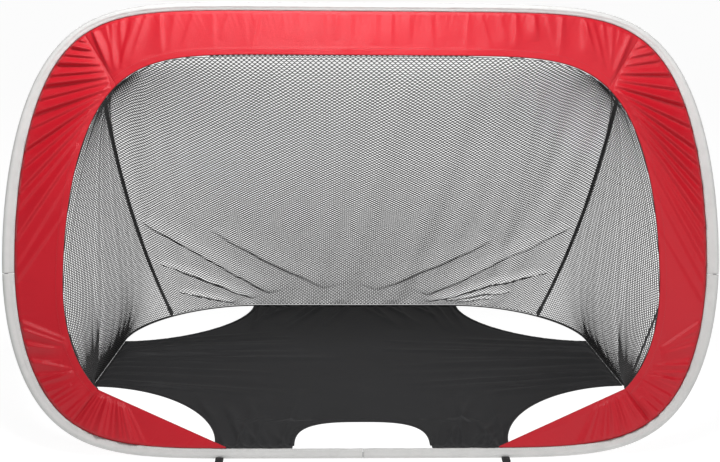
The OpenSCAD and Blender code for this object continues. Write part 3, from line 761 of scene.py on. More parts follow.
# Each row is one gather: where it starts round the mouth in degrees and how far from there to the
# sleeve's end of the mitre, where it ends round the hoop, its height as a share of the deepest, and
# its width in millimetres.
SIDE_FOLDS = {
    RIGHT: (
        (33.9, 0.8, 35.6, 0.4, 6), (33.9, 0.62, 33.2, 0.6, 7), (33.9, 0.46, 31.0, 0.5, 8),
        (33.9, 0.3, 27.6, 0.8, 9), (33.7, 0.17, 24.4, 0.6, 8), (33.5, 0.08, 21.4, 0.95, 9),
        (33.2, 0.0, 17.8, 0.75, 8), (32.2, 0.0, 14.6, 1.0, 10), (30.8, 0.0, 12.2, 0.7, 8),
        (29.2, 0.0, 9.4, 1.0, 10), (27.2, 0.0, 7.2, 0.65, 8), (25.2, 0.0, 4.4, 0.9, 11),
        (22.0, 0.0, 2.4, 0.45, 9), (19.0, 0.0, -0.6, 0.6, 12), (14.0, 0.0, -3.6, 0.4, 13),
        (8.0, 0.0, -6.5, 0.3, 14),
    ),
    LEFT: (
        (33.9, 0.86, 36.0, 0.5, 6), (33.9, 0.7, 33.8, 0.8, 7), (33.9, 0.56, 31.4, 0.6, 7),
        (33.9, 0.42, 29.2, 0.9, 8), (33.9, 0.3, 26.4, 0.7, 8), (33.8, 0.18, 24.4, 0.95, 8),
        (33.6, 0.1, 21.8, 0.6, 8), (33.2, 0.0, 19.4, 0.9, 9), (32.0, 0.0, 17.0, 0.5, 8),
        (30.6, 0.0, 14.0, 0.9, 10), (28.6, 0.0, 11.4, 0.6, 9), (26.8, 0.0, 8.4, 0.8, 11),
        (23.6, 0.0, 6.2, 0.4, 10), (20.4, 0.0, 2.6, 0.7, 12), (15.4, 0.0, -0.8, 0.3, 14),
        (10.0, 0.0, -3.4, 0.4, 12),
    ),
}


def top_gathers(plan, p, high, rng):
    """Folds that fan down from the sleeve, lower in the middle, and three that meet at each corner."""
    relief = np.zeros(p.shape[:-1])
    for k in range(34):
        angle = mix(39.5, 140.5, (k + rng.uniform(0.1, 0.9)) / 34)
        start = plan.sewn(angle, 2 * MM)
        across = np.cos(np.radians(angle)) * rng.uniform(1.12, 1.34)
        foot = np.clip(np.degrees(np.arccos(across)), 34.8, 145.2)
        end = mix(start, plan.mouth_edge(foot), rng.uniform(0.55, 1.0))
        share = 0.25 if 66 < angle < 124 else 0.62
        narrow, wide = rng.uniform(3, 6), rng.uniform(7, 13)
        height = high * share * rng.uniform(0.35, 1.0)
        relief += fold(p, start, end, narrow, wide, height, rng.uniform(-0.6, 0.6), (0.3, 0.7))
    for corner in (LEFT, RIGHT):
        inner = plan.mouth_edge(plan.upper_seam_in) * [corner, 1]
        for angle in (40.5, 45, 50):
            end = plan.sewn(angle, 3 * MM) * [corner, 1]
            relief += fold(p, mix(inner, end, 0.25), end, 5, 9, high * 0.5, 0.4 * corner, (0.6, 0.3))
    return relief


def side_gathers(plan, side, p, high, rng):
    """The long folds of the list above, and short ones below that run in from the sleeve."""
    relief = np.zeros(p.shape[:-1])
    for start_turn, share, end_turn, tall, wide in SIDE_FOLDS[side]:
        start = plan.mouth_edge(start_turn) + 3 * MM * plan.outward(plan.mouth_edge, start_turn)
        start = mix(start, plan.sewn(plan.upper_seam - 0.4, 0), share)
        end = plan.sewn(end_turn, 1 * MM)
        relief += fold(p, start, end, 0.34 * wide, 0.8 * wide, 1.25 * high * tall, 0.7, (0.45, 0.14))
    for k in range(15):
        angle = mix(-34.0, -9.0, (k + rng.uniform(0.0, 1.0)) / 15)
        start = plan.sewn(angle, 1 * MM)
        foot = mix(angle * 0.82, plan.lower_seam_in, rng.uniform(0.2, 0.55))
        end = mix(start, plan.mouth_edge(foot), rng.uniform(0.6, 1.0))
        wide = rng.uniform(4, 8)
        relief += fold(p, start, end, 7, wide, high * rng.uniform(0.25, 0.6), 0.6, (0.2, 0.6))
    return relief


def lower_gathers(plan, p, high, rng):
    """Pleats from the band's inner edge to the sleeve, over its upper part."""
    relief = np.zeros(p.shape[:-1])
    for k in range(13):
        share = (k + rng.uniform(0.1, 0.9)) / 13
        end = plan.sewn(mix(plan.lower_seam + 0.5, plan.lower_seam - 19, share), 1 * MM)
        start = mix(plan.lower_corner, plan.lower_end, share * 0.22) + (end - plan.lower_corner) * 0.03
        wide = rng.uniform(6, 11)
        relief += fold(p, start, end, 3, wide, high * rng.uniform(0.3, 0.7), 0.6, (0.5, 0.3))
    return relief


def gathers(plan, which, side, p, high):
    """The folds of one band in its plane, on the right-hand side; left and right differ."""
    seed = {"top": 3, "side": 5, "lower": 9}[which] + (20 if side == LEFT else 0)
    rng = np.random.default_rng(seed)
    if which == "side":
        return side_gathers(plan, side, p, high, rng)
    return (top_gathers if which == "top" else lower_gathers)(plan, p, high, rng)


def band_surface(plan, which, side):
    """A band's grid: rows along it, columns from the sleeve to the mouth; heights in front of its plane
    from the gathers, the puckers along its seams and the doubled hem at the mouth; and the weights of a
    painted shadow along its seam with the sleeve and, fainter, along the mouth's edge."""
    outer, inner = band_lines(plan, which)
    w = np.linspace(0, 1, 56)
    flat = mix(outer[:, None], inner[:, None], w[None, :, None])
    run = run_along(outer)[:, None]
    wide = np.linalg.norm(inner - outer, axis=-1)[:, None]
    from_sleeve, from_mouth = w * wide, (1 - w) * wide
    relief = gathers(plan, which, side, flat, plan.g.band_fold)
    pucker = swell(run, (0.0085, 0.0117, 0.0193, 0.031), 4 + side) * np.exp(-from_sleeve / 0.016)
    relief = relief + 1.1 * MM * pucker * ramp(from_sleeve, 0.004)
    relief = relief + 1.2 * MM * swell(run * 0.7 + from_sleeve * 1.1, (0.09, 0.143, 0.21), 8 + side)
    ends = ramp(np.minimum(run, run[-1] - run), 0.006)
    relief = relief * ramp(from_sleeve, 0.006) * ramp(from_mouth, 0.010) * mix(0.25, 1.0, ends)
    hemmed = float(which != "lower")
    hem = hemmed * ramp(0.013 - from_mouth, 0.0012)
    groove = hemmed * bell(from_mouth, plan.hem_seam, 0.0007)
    half, least = 0.6 * MM, 0.5 * MM
    front = relief + half + 0.5 * MM * hem - 0.35 * MM * groove
    back = mix(-half, np.maximum(relief - half, -half), ramp(from_mouth, 0.02))
    back = np.maximum(np.minimum(back, front - least), -half)
    # painted shadow: darker along the seam with the sleeve, and faintly along the mouth's edge
    shade = bell(from_sleeve, 0, 0.0013) * 0.9 + bell(from_mouth, 0, 0.0008) * 0.25
    return flat, front, back, shade, wide


def make_band(plan, which, side, node):
    """One band of cloth; gives its front, its widths and whether the mouth's hem runs along it."""
    flat, front, back, shade, wide = band_surface(plan, which, side)
    near, far = (mirror(plan.standing(flat, -high), side) for high in (front, back))
    obj = piece(node + "_cloth", *cloth_wall(near, far))
    # the painted shadow's weights go onto both walls of the cloth
    attr = obj.data.attributes.new("seam_shade", "FLOAT", "POINT")
    attr.data.foreach_set("value", np.concatenate([shade.ravel(), shade.ravel()]))
    dress(obj, "band", node)
    area = round(grid_area(flat), 4)
    return near, wide, which != "lower"


def band_stitching(plan, made):
    """A row of stitches along the mouth's hem and one beside each mitre, lying on the bands' relief."""
    rows = []
    for near, wide, hemmed in made:
        if hemmed:
            last = near.shape[1] - 1
            at = (1 - plan.hem_seam / wide[:, 0]) * last
            low = np.clip(at.astype(int), 0, last - 1)
            here = np.arange(len(near))
            rows.append(mix(near[here, low], near[here, low + 1], (at - low)[:, None]))
        rows.append(near[3, 3:-3])
        if hemmed:
            rows.append(near[-4, 3:-3])
    parts = [stitches(line, plan.front, 0.6 * MM, 0.5 * MM, plan.g.stitch) for line in rows]
    dress(piece("band_stitching", *joined(parts)), "thread_red")


def mouth_tape(plan):
    """The black tape that backs the mouth's hem, with a soft edge wave."""
    turn = np.linspace(180 - plan.lower_seam_in, plan.lower_seam_in, 520)
    edge, out = plan.mouth_edge(turn), plan.outward(plan.mouth_edge, turn)
    w = np.linspace(-0.0003, 0.012, 9)[None]
    p = edge[:, None] + out[:, None] * column(w)
    wave = 0.12 * MM * waves(run_along(edge)[:, None] + 0.2 * w, (0.011, 0.017), 12)
    near, far = plan.standing(p, 0.95 * MM), plan.standing(p, 2.0 * MM + wave)
    webbing_piece("mouth_tape_webbing", cloth_wall(near, far), "mouth_tape")


# ---------- the nets ----------

# Slack folds of the back net: start and end across (from the middle, in metres) and down (as a share),
# then width and depth in millimetres.
NET_FOLDS = (
    (-0.46, 0.58, -0.19, 0.93, 12, 14),
    (-0.45, 0.76, -0.24, 0.965, 7, 17),
    (-0.43, 0.90, -0.30, 0.985, 5, 16),
    (-0.30, 0.62, -0.06, 0.90, 16, 8),
    (0.46, 0.60, 0.16, 0.94, 12, 14),
    (0.45, 0.80, 0.17, 0.982, 7, 18),
    (0.38, 0.91, 0.21, 0.975, 5, 15),
    (0.34, 0.955, 0.24, 0.985, 4, 12),
    (0.28, 0.66, 0.04, 0.91, 16, 8),
)


def lifted(p, z):
    """Points of the ground's plan at a height."""
    return stacked(p[..., 0], p[..., 1], z)


def back_hem(plan, s):
    """Straight across the rear, then round each corner to the strut."""
    u = np.abs(2 * s - 1)
    straight = stacked(2 * u * plan.rear_half, plan.rear_y + plan.hem_out)
    corner = plan.rear_corner(plan.hem_out, mix(90.0, plan.strut_turn, np.clip(2 * u - 1, 0, 1)))
    p = np.where(u[..., None] < 0.5, straight, corner)
    return plan.grounded(p * stacked(np.where(s < 0.5, -1.0, 1.0), 1.0))


def back_net(plan, t, s):
    """The back net between mouth, ground and the two strut seams, bagged inwards, with slack folds
    that hang from the struts' feet."""
    inner = -1.2 * MM * X_WAY

    def top(s):
        turn = mix(180 - plan.upper_seam_in, plan.upper_seam_in, s)
        return plan.standing(plan.mouth_edge(turn), plan.net_behind) + inner * column(2 * s - 1)

    p = spanned(
        top,
        lambda s: back_hem(plan, s) + inner * column(2 * s - 1),
        lambda t: (plan.net_seam(t) + inner) * [-1, 1, 1],
        lambda t: plan.net_seam(t) + inner,
        3,
        t,
        s,
    )
    out = unit(np.array([0, 0.74, 0.68]))
    off_middle = np.abs(2 * s - 1)
    sag = plan.g.net_sag * np.sin(math.pi * np.sqrt(t)) * (1 - off_middle**2.5)
    q = stacked((s - 0.5) * 0.95, t * 1.05)
    slack = np.zeros_like(t)
    for x0, t0, x1, t1, wide, deep in NET_FOLDS:
        start, end, skew = (x0, t0 * 1.05), (x1, t1 * 1.05), math.copysign(0.75, x0)
        slack += fold(q, start, end, 1.2 * wide, 1.6 * wide, 0.8 * deep * MM, skew, (0.5, 0.5))
    edge = ramp(1 - off_middle, 0.05) * ramp(1 - t, 0.03)
    ripple = 2.2 * MM * waves((s - 0.5) * 0.9 + 0.1 * t, (0.06, 0.087, 0.13), 15) * ramp(t, 0.1)
    return p - column(sag + (slack - ripple) * edge) * out


def side_net(plan, t, s):
    """A side net on the right, between the mouth's side, the ground and the strut seam."""
    before = np.array([0, -0.9, -0.7]) * MM
    first_turn, first_share = plan.upper_seam_in - 1, 0.02
    start = plan.standing(plan.mouth_edge(first_turn), plan.net_behind)
    end = plan.net_seam(first_share) + before
    corner = plan.standing(plan.lower_corner, plan.net_behind)
    front = plan.grounded([plan.arm_front_half + plan.hem_out, plan.arm_front_y])
    back = plan.grounded([plan.arm_half + plan.hem_out, plan.arm_back_y])

    def hem(s):
        third = 3 * column(s)
        turn = mix(0.0, plan.strut_turn, np.clip(3 * s - 2, 0, 1))
        rounded = plan.grounded(plan.rear_corner(plan.hem_out, turn))
        straight = np.where(third < 1, mix(corner, front, third), mix(front, back, third - 1))
        return np.where(third < 2, straight, rounded) + before * column(s)

    def mouth(t):
        turn = mix(first_turn, plan.lower_seam_in, t)
        return plan.standing(plan.mouth_edge(turn), plan.net_behind)

    p = spanned(
        mouth,
        lambda t: plan.net_seam(mix(first_share, 1.0, t)) + before,
        lambda s: mix(start, end, column(s)),
        hem,
        7,
        s,
        t,
    )
    ripple = 0.9 * MM * waves(s * 0.5 + 0.25 * t, (0.07, 0.11, 0.17), 25)
    edge = ramp(s, 0.08) * ramp(1 - s, 0.08) * ramp(1 - t, 0.06)
    return p - X_WAY * column(np.abs(ripple) * edge)


def knots(plan, surface, side):
    """Where a net's knots lie on its surface, which of them are inside it, and its height and area. The
    lattice is staggered. A side net's rows lie level, the back net's keep their distance up from its
    foot, and columns keep theirs along each row: from the middle of the back net, or from a side net's
    last edge."""
    g = plan.g
    fine, sample = np.linspace(0, 1, 161), np.linspace(0, 1, 81)
    down = surface(*np.meshgrid(fine, sample, indexing="ij"))
    steps = np.linalg.norm(np.diff(down, axis=0), axis=-1)
    if side:
        origin, height = 1.0, down[..., 2] * 1.06
    else:
        origin, height = 0.5, np.concatenate([np.cumsum(steps[::-1], 0)[::-1], np.zeros((1, len(sample)))])
    rise = np.arange(int(height.max() / g.net_row) + 2) * g.net_row
    t_row = np.stack([np.interp(rise, h[::-1], fine[::-1]) for h in height.T], 1)
    room = np.minimum(rise[:, None] - height[-1], height[0] - rise[:, None])
    reach = np.stack([run_along(row) for row in surface(t_row, np.broadcast_to(sample, t_row.shape))])
    half = int(reach.max() / g.net_cell) + 2
    row, place = np.meshgrid(np.arange(len(rise)), np.arange(-half, half + 1), indexing="ij")
    x = (place + 0.5 * (row % 2)) * g.net_cell
    s = [np.interp(a + np.interp(origin, sample, b), b, sample, -0.01, 1.01) for a, b in zip(x, reach)]
    s = np.stack(s)
    t, inside = (np.stack([np.interp(a, sample, b) for a, b in zip(s, rows)]) for rows in (t_row, room))
    alive = (s > 0) & (s < 1) & (inside > 0)
    return t, np.clip(s, 0, 1), alive, float(steps.sum(0).mean()), grid_area(down)


def strand_ends(surface, t, s, alive, knot):
    """Both ends of each strand: a short upright one at every knot, and two slanting ones from its foot
    to the next row's knots."""
    upper, lower = (surface(np.clip(t + way_down, 0, 1), s) for way_down in (-knot, knot))
    starts, stops = [upper[alive]], [lower[alive]]
    for odd in (0, 1):
        rows = np.arange(odd, len(s) - 1, 2)
        for shift in (odd - 1, odd):
            cols = np.arange(max(0, -shift), s.shape[1] - max(0, shift))
            here, there = np.ix_(rows, cols), np.ix_(rows + 1, cols + shift)
            kept = alive[here] | alive[there]
            starts.append(upper[here][kept])
            stops.append(lower[there][kept])
    return np.concatenate(starts), np.concatenate(stops)


def knit(plan, word):
    """A net of yarn: every strand is one flat quad of the yarn's width, square to one direction that
    the whole net shares. Its texture coordinates are the back net seen along Y, or a side net along X."""
    g = plan.g
    side = SIDES.get(word, 0)
    square_to, axes = ((0.5 * side, 0.85, 0), [1, 2]) if side else ((0, 1.0, -0.08), [0, 2])

    def surface(t, s):
        return mirror(side_net(plan, t, s), side) if side else back_net(plan, t, s)

    t, s, alive, tall, cloth = knots(plan, surface, side)
    p0, p1 = strand_ends(surface, t, s, alive, 0.16 * g.net_row / tall)
    size = np.linalg.norm(p1 - p0, axis=-1)
    kept = (size > 0.4 * MM) & (size < 3 * g.net_cell)
    p0, p1 = p0[kept], p1[kept]
    across = unit(np.cross(unit(p1 - p0), unit(np.array(square_to)))) * (g.net_yarn / 2)
    points = np.stack([p0 - across, p0 + across, p1 + across, p1 - across], 1)
    faces = np.arange(len(points) * 4).reshape(-1, 4)
    lo, hi = (limit(points.reshape(-1, 3), 0)[axes] for limit in (np.min, np.max))
    uv = (points[..., axes] - lo) / (hi - lo) * 0.98 + 0.01
    obj = piece(f"net_{word}_yarn", points, faces, closed=False, uv=uv, smooth=False)
    dress(obj, "net", f"net_{word}")
    squash_back(obj, plan)


def foot_tape(plan):
    """The black tape round the net's foot, lying flat on the ground with a low crown."""
    lines = []
    for out in np.linspace(plan.tape_in, plan.tape_in + plan.foot_tape, 7):
        front = np.array([plan.arm_front_half + out, plan.arm_front_y])
        arm = mix(front, np.array([plan.arm_half + out, plan.arm_back_y]), np.linspace(0, 1, 60)[:, None])
        corner = plan.rear_corner(out, np.linspace(0, 90, 130)[1:])
        back = stacked(np.linspace(plan.rear_half, 0, 61)[1:], plan.rear_y + out)
        half = np.concatenate([arm, corner, back])
        lines.append(np.concatenate([half, (half * [-1, 1])[-2::-1]]))
    flat = np.stack(lines, 1)
    run = np.linspace(0, 2.4, len(flat))[:, None]
    w = np.linspace(-1, 1, 7)[None]
    high = 2.2 * MM - 0.7 * MM * w**2 + 0.15 * MM * waves(run, (0.012, 0.019, 0.045), 18)
    tape = cloth_wall(lifted(flat, high), lifted(flat, 0.15 * MM))
    squash_back(webbing_piece("net_foot_tape_webbing", tape, "net_foot_tape"), plan)


def net_edging(plan):
    """The thin dark edging where the back net meets each side net, and along both feet."""
    foot_share = 0.999
    t, s = np.linspace(0.01, 0.99, 220), np.linspace(0.02, 0.99, 240)
    parts = []
    for side in SIDES.values():
        seam = plan.net_seam(t) + np.array([-0.6, -0.4, -0.3]) * MM
        parts.append(cord(mirror(seam, side), 1.5 * MM, 8))
        parts.append(cord(mirror(side_net(plan, np.full_like(s, foot_share), s), side), 1.1 * MM, 6))
    s = np.linspace(0.005, 0.995, 260)
    parts.append(cord(back_net(plan, np.full_like(s, foot_share), s), 1.1 * MM, 6))
    squash_back(webbing_piece("net_edging", joined(parts)), plan)


# ---------- the floor ----------


def floor_rows(plan, inset):
    """Rows of the right half: y, then x of the inner and the outer edge, by the same rounded corners
    as the outline."""
    front, back, power = plan.arm_front_half, plan.arm_half, 2 / plan.scallop
    turn = np.linspace(0, math.pi / 2, 52)
    y1 = plan.tab_y + (plan.arm_front_y - plan.tab_y) * np.sin(turn) ** power
    x1 = front - (front - plan.tab_half) * np.maximum(0, np.cos(turn)) ** power
    y2 = np.linspace(plan.arm_front_y, plan.arm_back_y, 42)[1:]
    x2 = mix(front, back, (y2 - plan.arm_front_y) / (plan.arm_back_y - plan.arm_front_y))
    turn = np.linspace(math.pi / 2, 0, 60)[1:]
    y3 = plan.rear_y - (plan.rear_y - plan.arm_back_y) * np.sin(turn) ** power
    x3 = back - (back - plan.rear_half) * np.cos(turn) ** power
    y, far = np.concatenate([y1, y2, y3]), np.concatenate([x1, x2, x3]) - inset
    u = ramp(y - plan.tab_y, plan.gap_top + inset - plan.tab_y)
    near = (plan.gap_half + inset) * (1 - u**plan.cut_power) ** (1 / plan.cut_power)
    return np.minimum(y, plan.rear_y - inset), near, far


def floor_sheet(plan):
    """The ground sheet: rows from its front tabs to its rear edge, wrinkled, its tabs rising onto the
    hoop, and thickened downwards into cloth. Both halves share their points behind the cut-out."""
    thick, front_rows = 1.1 * MM, 21
    y, near, far = floor_rows(plan, 2 * MM)
    front = mix(plan.tab_front_y, plan.tab_y, np.linspace(0, 1, front_rows + 1)[:-1])
    y = np.concatenate([front, y])
    near = np.concatenate([np.full(front_rows, plan.gap_half + 1 * MM), near])[:, None]
    far = np.concatenate([np.full(front_rows, plan.tab_half - 1 * MM), far])[:, None]
    x = mix(near, far, (np.linspace(0, 1, 84) ** 0.9)[None])
    yy = y[:, None] + 0 * x
    rise = 10.9 * MM * ramp(plan.tab_y - yy, plan.tab_y - plan.tab_front_y) ** 1.25
    halves = []
    for side in (LEFT, RIGHT):
        p = stacked(side * x, yy)
        halves.append(lifted(p, 1.3 * MM + floor_wrinkles(plan, p, near, far) + rise))
    points = np.stack(halves).reshape(-1, 3)
    index = np.arange(x.size).reshape(x.shape)
    other = index + x.size
    split = int(np.argmax(near[:, 0] <= 1e-9))
    other[split:, 0] = index[split:, 0]
    left, right = (
        np.stack([grid[:-1, :-1], grid[:-1, 1:], grid[1:, 1:], grid[1:, :-1]], -1).reshape(-1, 4)
        for grid in (index, other)
    )
    faces = np.concatenate([left[:, ::-1], right])
    used, faces = np.unique(faces, return_inverse=True)
    obj = piece("floor_sheet_cloth", points[used], faces.reshape(-1, 4), closed=False)
    solid = obj.modifiers.new("cloth", "SOLIDIFY")
    solid.thickness = thick
    solid.offset = -1.0
    bpy.context.view_layer.update()
    mesh = bpy.data.meshes.new_from_object(obj.evaluated_get(bpy.context.evaluated_depsgraph_get()))
    obj.modifiers.clear()
    obj.data = mesh
    dress(obj, "floor", "floor_sheet")
    area = round(2 * grid_area(stacked(x, yy)), 3)
    squash_back(obj, plan)


def floor_wrinkles(plan, p, near, far):
    """Heights of the floor's wrinkles: long tension folds out of each arm, short fans at the front
    tabs and at the rear edge, and a slow unevenness."""
    high = plan.g.floor_wrinkle
    z = np.zeros(p.shape[:-1])
    rng = np.random.default_rng(77)
    for side in (LEFT, RIGHT):
        for k in range(17):
            share = (k + rng.uniform(0.1, 0.9)) / 17
            y0 = mix(plan.arm_front_y + 12 * MM, plan.arm_back_y - 10 * MM, share)
            x1 = rng.uniform(0.02, 0.33)
            y1 = y0 + (share - 0.5) * (0.5 - x1) * 0.42 + rng.uniform(-0.01, 0.01)
            narrow, wide = rng.uniform(3, 6), rng.uniform(5, 12)
            height, skew = high * rng.uniform(0.3, 1.0), rng.uniform(-0.5, 0.5)
            z += fold(p, (side * 0.515, y0), (side * x1, y1), narrow, wide, height, skew, (0.15, 0.8))
        for k in range(9):
            x0 = side * mix(plan.gap_half, plan.tab_half, (k + 0.5) / 9)
            end = (x0 + side * rng.uniform(-0.03, 0.10), plan.tab_y + rng.uniform(0.08, 0.24))
            height, skew = high * rng.uniform(0.3, 0.7), rng.uniform(-0.5, 0.5)
            z += fold(p, (x0, plan.tab_y - 0.02), end, 4, 9, height, skew, (0.2, 0.8))
        for k in range(8):
            x0 = side * plan.rear_half * (k + 0.5) / 8
            end = (x0 + side * rng.uniform(0.0, 0.09), plan.rear_y - rng.uniform(0.07, 0.2))
            height, skew = high * rng.uniform(0.3, 0.8), rng.uniform(-0.5, 0.5)
            z += fold(p, (x0, plan.rear_y), end, 4, 9, height, skew, (0.2, 0.8))
    x, y = p[..., 0], p[..., 1]
    slow = swell(x * 0.4 + y, (0.11, 0.17, 0.29), 2) * swell(x - 0.3 * y, (0.13, 0.21), 3)
    x = np.abs(x)
    edge = ramp(far - x, 0.018) * np.where(near > 0, ramp(x - near, 0.012), 1)
    return (z + 1.4 * MM * slow) * edge * ramp(plan.rear_y - y, 0.014)


def floor_edge(plan, inset, part):
    """A stretch of the outline on the right, moved in by inset: the front cut-out, or the sides."""
    if part == "front":
        turn, power = np.linspace(0, math.pi / 2, 90), 2 / plan.cut_power
        x = (plan.gap_half + inset) * np.maximum(0, np.cos(turn)) ** power
        return stacked(x, plan.tab_y + (plan.gap_top - plan.tab_y + inset) * np.sin(turn) ** power)
    turn, power = np.linspace(0, math.pi / 2, 110), 2 / plan.scallop
    ax, ay = plan.arm_front_half - plan.tab_half + inset, plan.arm_front_y - plan.tab_y + inset
    x = plan.arm_front_half - np.maximum(ax * np.maximum(0, np.cos(turn)) ** power, inset)
    first = stacked(x, plan.tab_y + ay * np.sin(turn) ** power)
    ax, ay = plan.arm_half - plan.rear_half + inset, plan.rear_y - plan.arm_back_y + inset
    turn = turn[::-1]
    x = plan.arm_half - np.maximum(ax * np.maximum(0, np.cos(turn)) ** power, inset)
    last = stacked(x, plan.rear_y - np.maximum(ay * np.sin(turn) ** power, inset))
    arm = mix(first[-1], last[0], np.linspace(0, 1, 60)[1:-1, None])
    rear = mix(last[-1], np.array([0.2 * MM, plan.rear_y - inset]), np.linspace(0, 1, 50)[1:, None])
    return np.concatenate([first, arm, last, rear])


def floor_bindings(plan):
    """Cloth tape folded over the edge: its height rises and falls as a flattened half round, with a
    stitched dip near its inner edge."""
    w = np.linspace(0, 1, 15)
    body = 2.75 * MM * np.sin(math.pi * (w * 0.92 + 0.04)) ** 0.35 - 0.55 * MM * bell(w, 0.8, 0.06)
    for part, words in (("front", ("front",)), ("side", ("left", "right"))):
        flat = np.stack([floor_edge(plan, inset, part) for inset in mix(-1.5 * MM, 7.5 * MM, w)], 1)
        if part == "front":
            flat = np.concatenate([flat, (flat * [-1, 1])[-2::-1]])
        run = run_along(flat[:, 0])[:, None]
        high = body + 0.3 * MM * waves(run + 0.004 * w, (0.009, 0.014, 0.033), 21)
        for word in words:
            top, low = (mirror(lifted(flat, z), SIDES.get(word, RIGHT)) for z in (high, 0.1 * MM))
            tape = webbing_piece(f"floor_binding_{word}_tape", cloth_wall(top, low), f"floor_binding_{word}")
            squash_back(tape, plan)


# ---------- the struts' cloth and the loops ----------


def pocket_patch(plan, node, side, kind):
    """A flat disc of cloth whose edge puckers at its ring of stitches."""
    middle = plan.inset(plan.pockets[kind][0], plan.g.sleeve_w + 16 * MM)
    turn = full_turn(64)[None]
    share = np.linspace(0.02, 1, 26)[:, None]
    pull = 0.5 + 0.5 * np.sin(22 * turn)
    radius = share * (13.9 * MM - 0.25 * MM * pull * share**6)
    groove = 0.28 * MM * bell(share, 0.88, 0.03) * (0.5 + 0.5 * pull)
    rise = (1.35 - 0.5 * share**10) * MM - groove - 0.12 * MM * (1 + np.sin(3 * turn + 9 * share)) * share
    disc = around(middle, *np.eye(2), radius, turn)
    walls = (mirror(plan.standing(disc, 0.92 * MM + thick), side) for thick in (0, rise))
    webbing_piece(f"{node}_patch", shell(*walls, pole=True), node)
    ring = around(middle, *np.eye(2), 12.2 * MM, np.linspace(0, 2 * math.pi, 97))
    line = mirror(plan.standing(ring, 2.1 * MM), side)
    seam = stitches(line, -plan.front, 0.7 * MM, 0.5 * MM, plan.g.stitch)
    dress(piece(f"{node}_stitching", *seam), "thread_black")


def pocket_cup(plan, node, side, kind):
    """A cup round a strut's ball: a ball's shell cut off square to a turned axis, its wall
    gathered towards a hemmed rim."""
    angle, ball, tilt = plan.pockets[kind]
    tilt = math.radians(tilt)
    axis = plan.up * math.cos(tilt) + plan.front * math.sin(tilt)
    turn = full_turn(64)[None]
    walls = []
    for r, soft in ((ball / 2 + 1.45 * MM, 1), (ball / 2 + 0.32 * MM, 0)):
        pole = np.linspace(0.05, math.pi / 2 + 0.45 * MM / r, 24)[:, None]
        gather = 0.22 * MM * (0.5 + 0.5 * np.sin(9 * turn)) * ramp(pole - 0.9, 0.6)
        rr = r - soft * (gather + 0.2 * MM * bell(pole, 1.3, 0.06))
        centre = plan.ball(angle, ball) + axis * column(rr * np.cos(pole))
        wall = around(centre, X_WAY, np.cross(axis, X_WAY), rr * np.sin(pole), turn)
        walls.append(mirror(wall, side))
    webbing_piece(f"{node}_cup", shell(*walls, pole=True), node)


def strut_sleeve(plan, word, side):
    """A tube along the bowed strut: its radius ripples in short ridges that wind slowly round it, and
    it narrows to a gathered hem at each end."""
    whole = plan.rear_strut(np.linspace(0, 1, 900))
    run = run_along(whole)
    bare = 26.5 * MM
    at = np.linspace(bare, run[-1] - bare, 420)
    line = points_at(whole, run, at)
    tan = unit(np.gradient(line, axis=0))
    across = unit(np.cross(tan, X_WAY))
    turn = full_turn(24)[None]
    a = at[:, None]
    end = np.minimum(a - at[0], at[-1] - a)
    r = 3.45 * MM + 0.28 * MM * waves(a + 0.002 * turn, (0.013, 0.021, 0.048), 44)
    r = r + 0.14 * MM * np.sin(3 * turn + a * 60) - 0.35 * MM * bell(end, 0.006, 0.0016)
    r = r + 0.25 * MM * bell(end, 0.002, 0.002) + 0.5 * MM * bell(turn, math.pi, 0.35)
    walls = [
        mirror(around(line[:, None], np.cross(across, tan)[:, None], across[:, None], radius, turn), side)
        for radius in (np.minimum(r, 3.95 * MM), 2.75 * MM)
    ]
    name = f"rear_sleeve_{word}"
    obj = piece(name + "_cloth", *shell(*walls), body=f"rear_strut_{word}")
    dress(obj, "strut", name)


def sock(plan, word, side, kind, foot, top):
    """A cloth cup round a strut's foot: a half round below, a straight gathered wall above and a
    turned hem, each ring rippled."""
    r = plan.sock_r[kind]
    d = unit(top - foot)
    across = unit(np.cross(d, X_WAY))
    turn = full_turn(28)[None]
    pole = np.radians(np.linspace(90, 0, 10))[1:]
    wall = np.linspace(0, 22.8 * MM, 26)[1:]
    h = np.concatenate([-r * np.sin(pole), wall])[:, None]
    wide = np.concatenate([r * np.cos(pole), np.full(len(wall), r)])[:, None]
    ripple = 0.22 * MM * np.sin(7 * turn + h * 300) + 0.12 * MM * np.sin(11 * turn + 2)
    gather = np.minimum(0, ripple - 0.2 * MM) * (wide > 0.5 * r)
    hem = 0.3 * MM * bell(h, 21.4 * MM, 1.1 * MM) - 0.4 * MM * bell(h, 18.6 * MM, 0.7 * MM)
    walls = []
    for inset in (0.25 * MM, 1.15 * MM):
        radius = np.maximum(wide - inset + gather + hem * (wide > 0.9 * r), 0.05 * MM)
        centre = foot + d * column(np.where(h < 0, h * (r - inset) / r, h))
        walls.append(mirror(around(centre, np.cross(across, d), across, radius, turn), side))
    node = f"{kind}_foot_sock_{word}"
    webbing_piece(node + "_cloth", shell(*walls, pole=True), node, f"{kind}_strut_{word}")


def peg_loop(word):
    """A strap round a flattened ring: the ring is a stadium, the strap's edges are rounded and its
    selvedge ripples."""
    lo, hi = (np.array(v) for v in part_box(f"peg_loop_{word}"))
    r = (hi[2] - lo[2]) / 2 - 0.1 * MM
    turn = full_turn(72)
    x = np.linspace(lo[0] + 0.1 * MM, hi[0] - 0.1 * MM, 15)[:, None]
    soft = 0.45 * MM * np.exp(-np.minimum(x - x[0], x[-1] - x) / (0.8 * MM))
    walls = []
    for inset, sign in ((0.0, 1), (1.5 * MM, -1)):
        radius = r - inset - sign * soft + 0.06 * MM * np.sin(x / (0.9 * MM))
        y = np.where(np.cos(turn) >= 0, hi[1] - r, lo[1] + r) + radius * np.cos(turn)
        walls.append(stacked(x, y, (lo[2] + hi[2]) / 2 + radius * np.sin(turn)))
    webbing_piece(f"peg_loop_{word}_webbing", shell(*walls), f"peg_loop_{word}")


# ---------- operators ----------


class Step:
    """An operator's run: its build, with the goal's plan."""

    def execute(self, context):
        self.build(Plan(context.scene.goal_sizes))
        return {"FINISHED"}


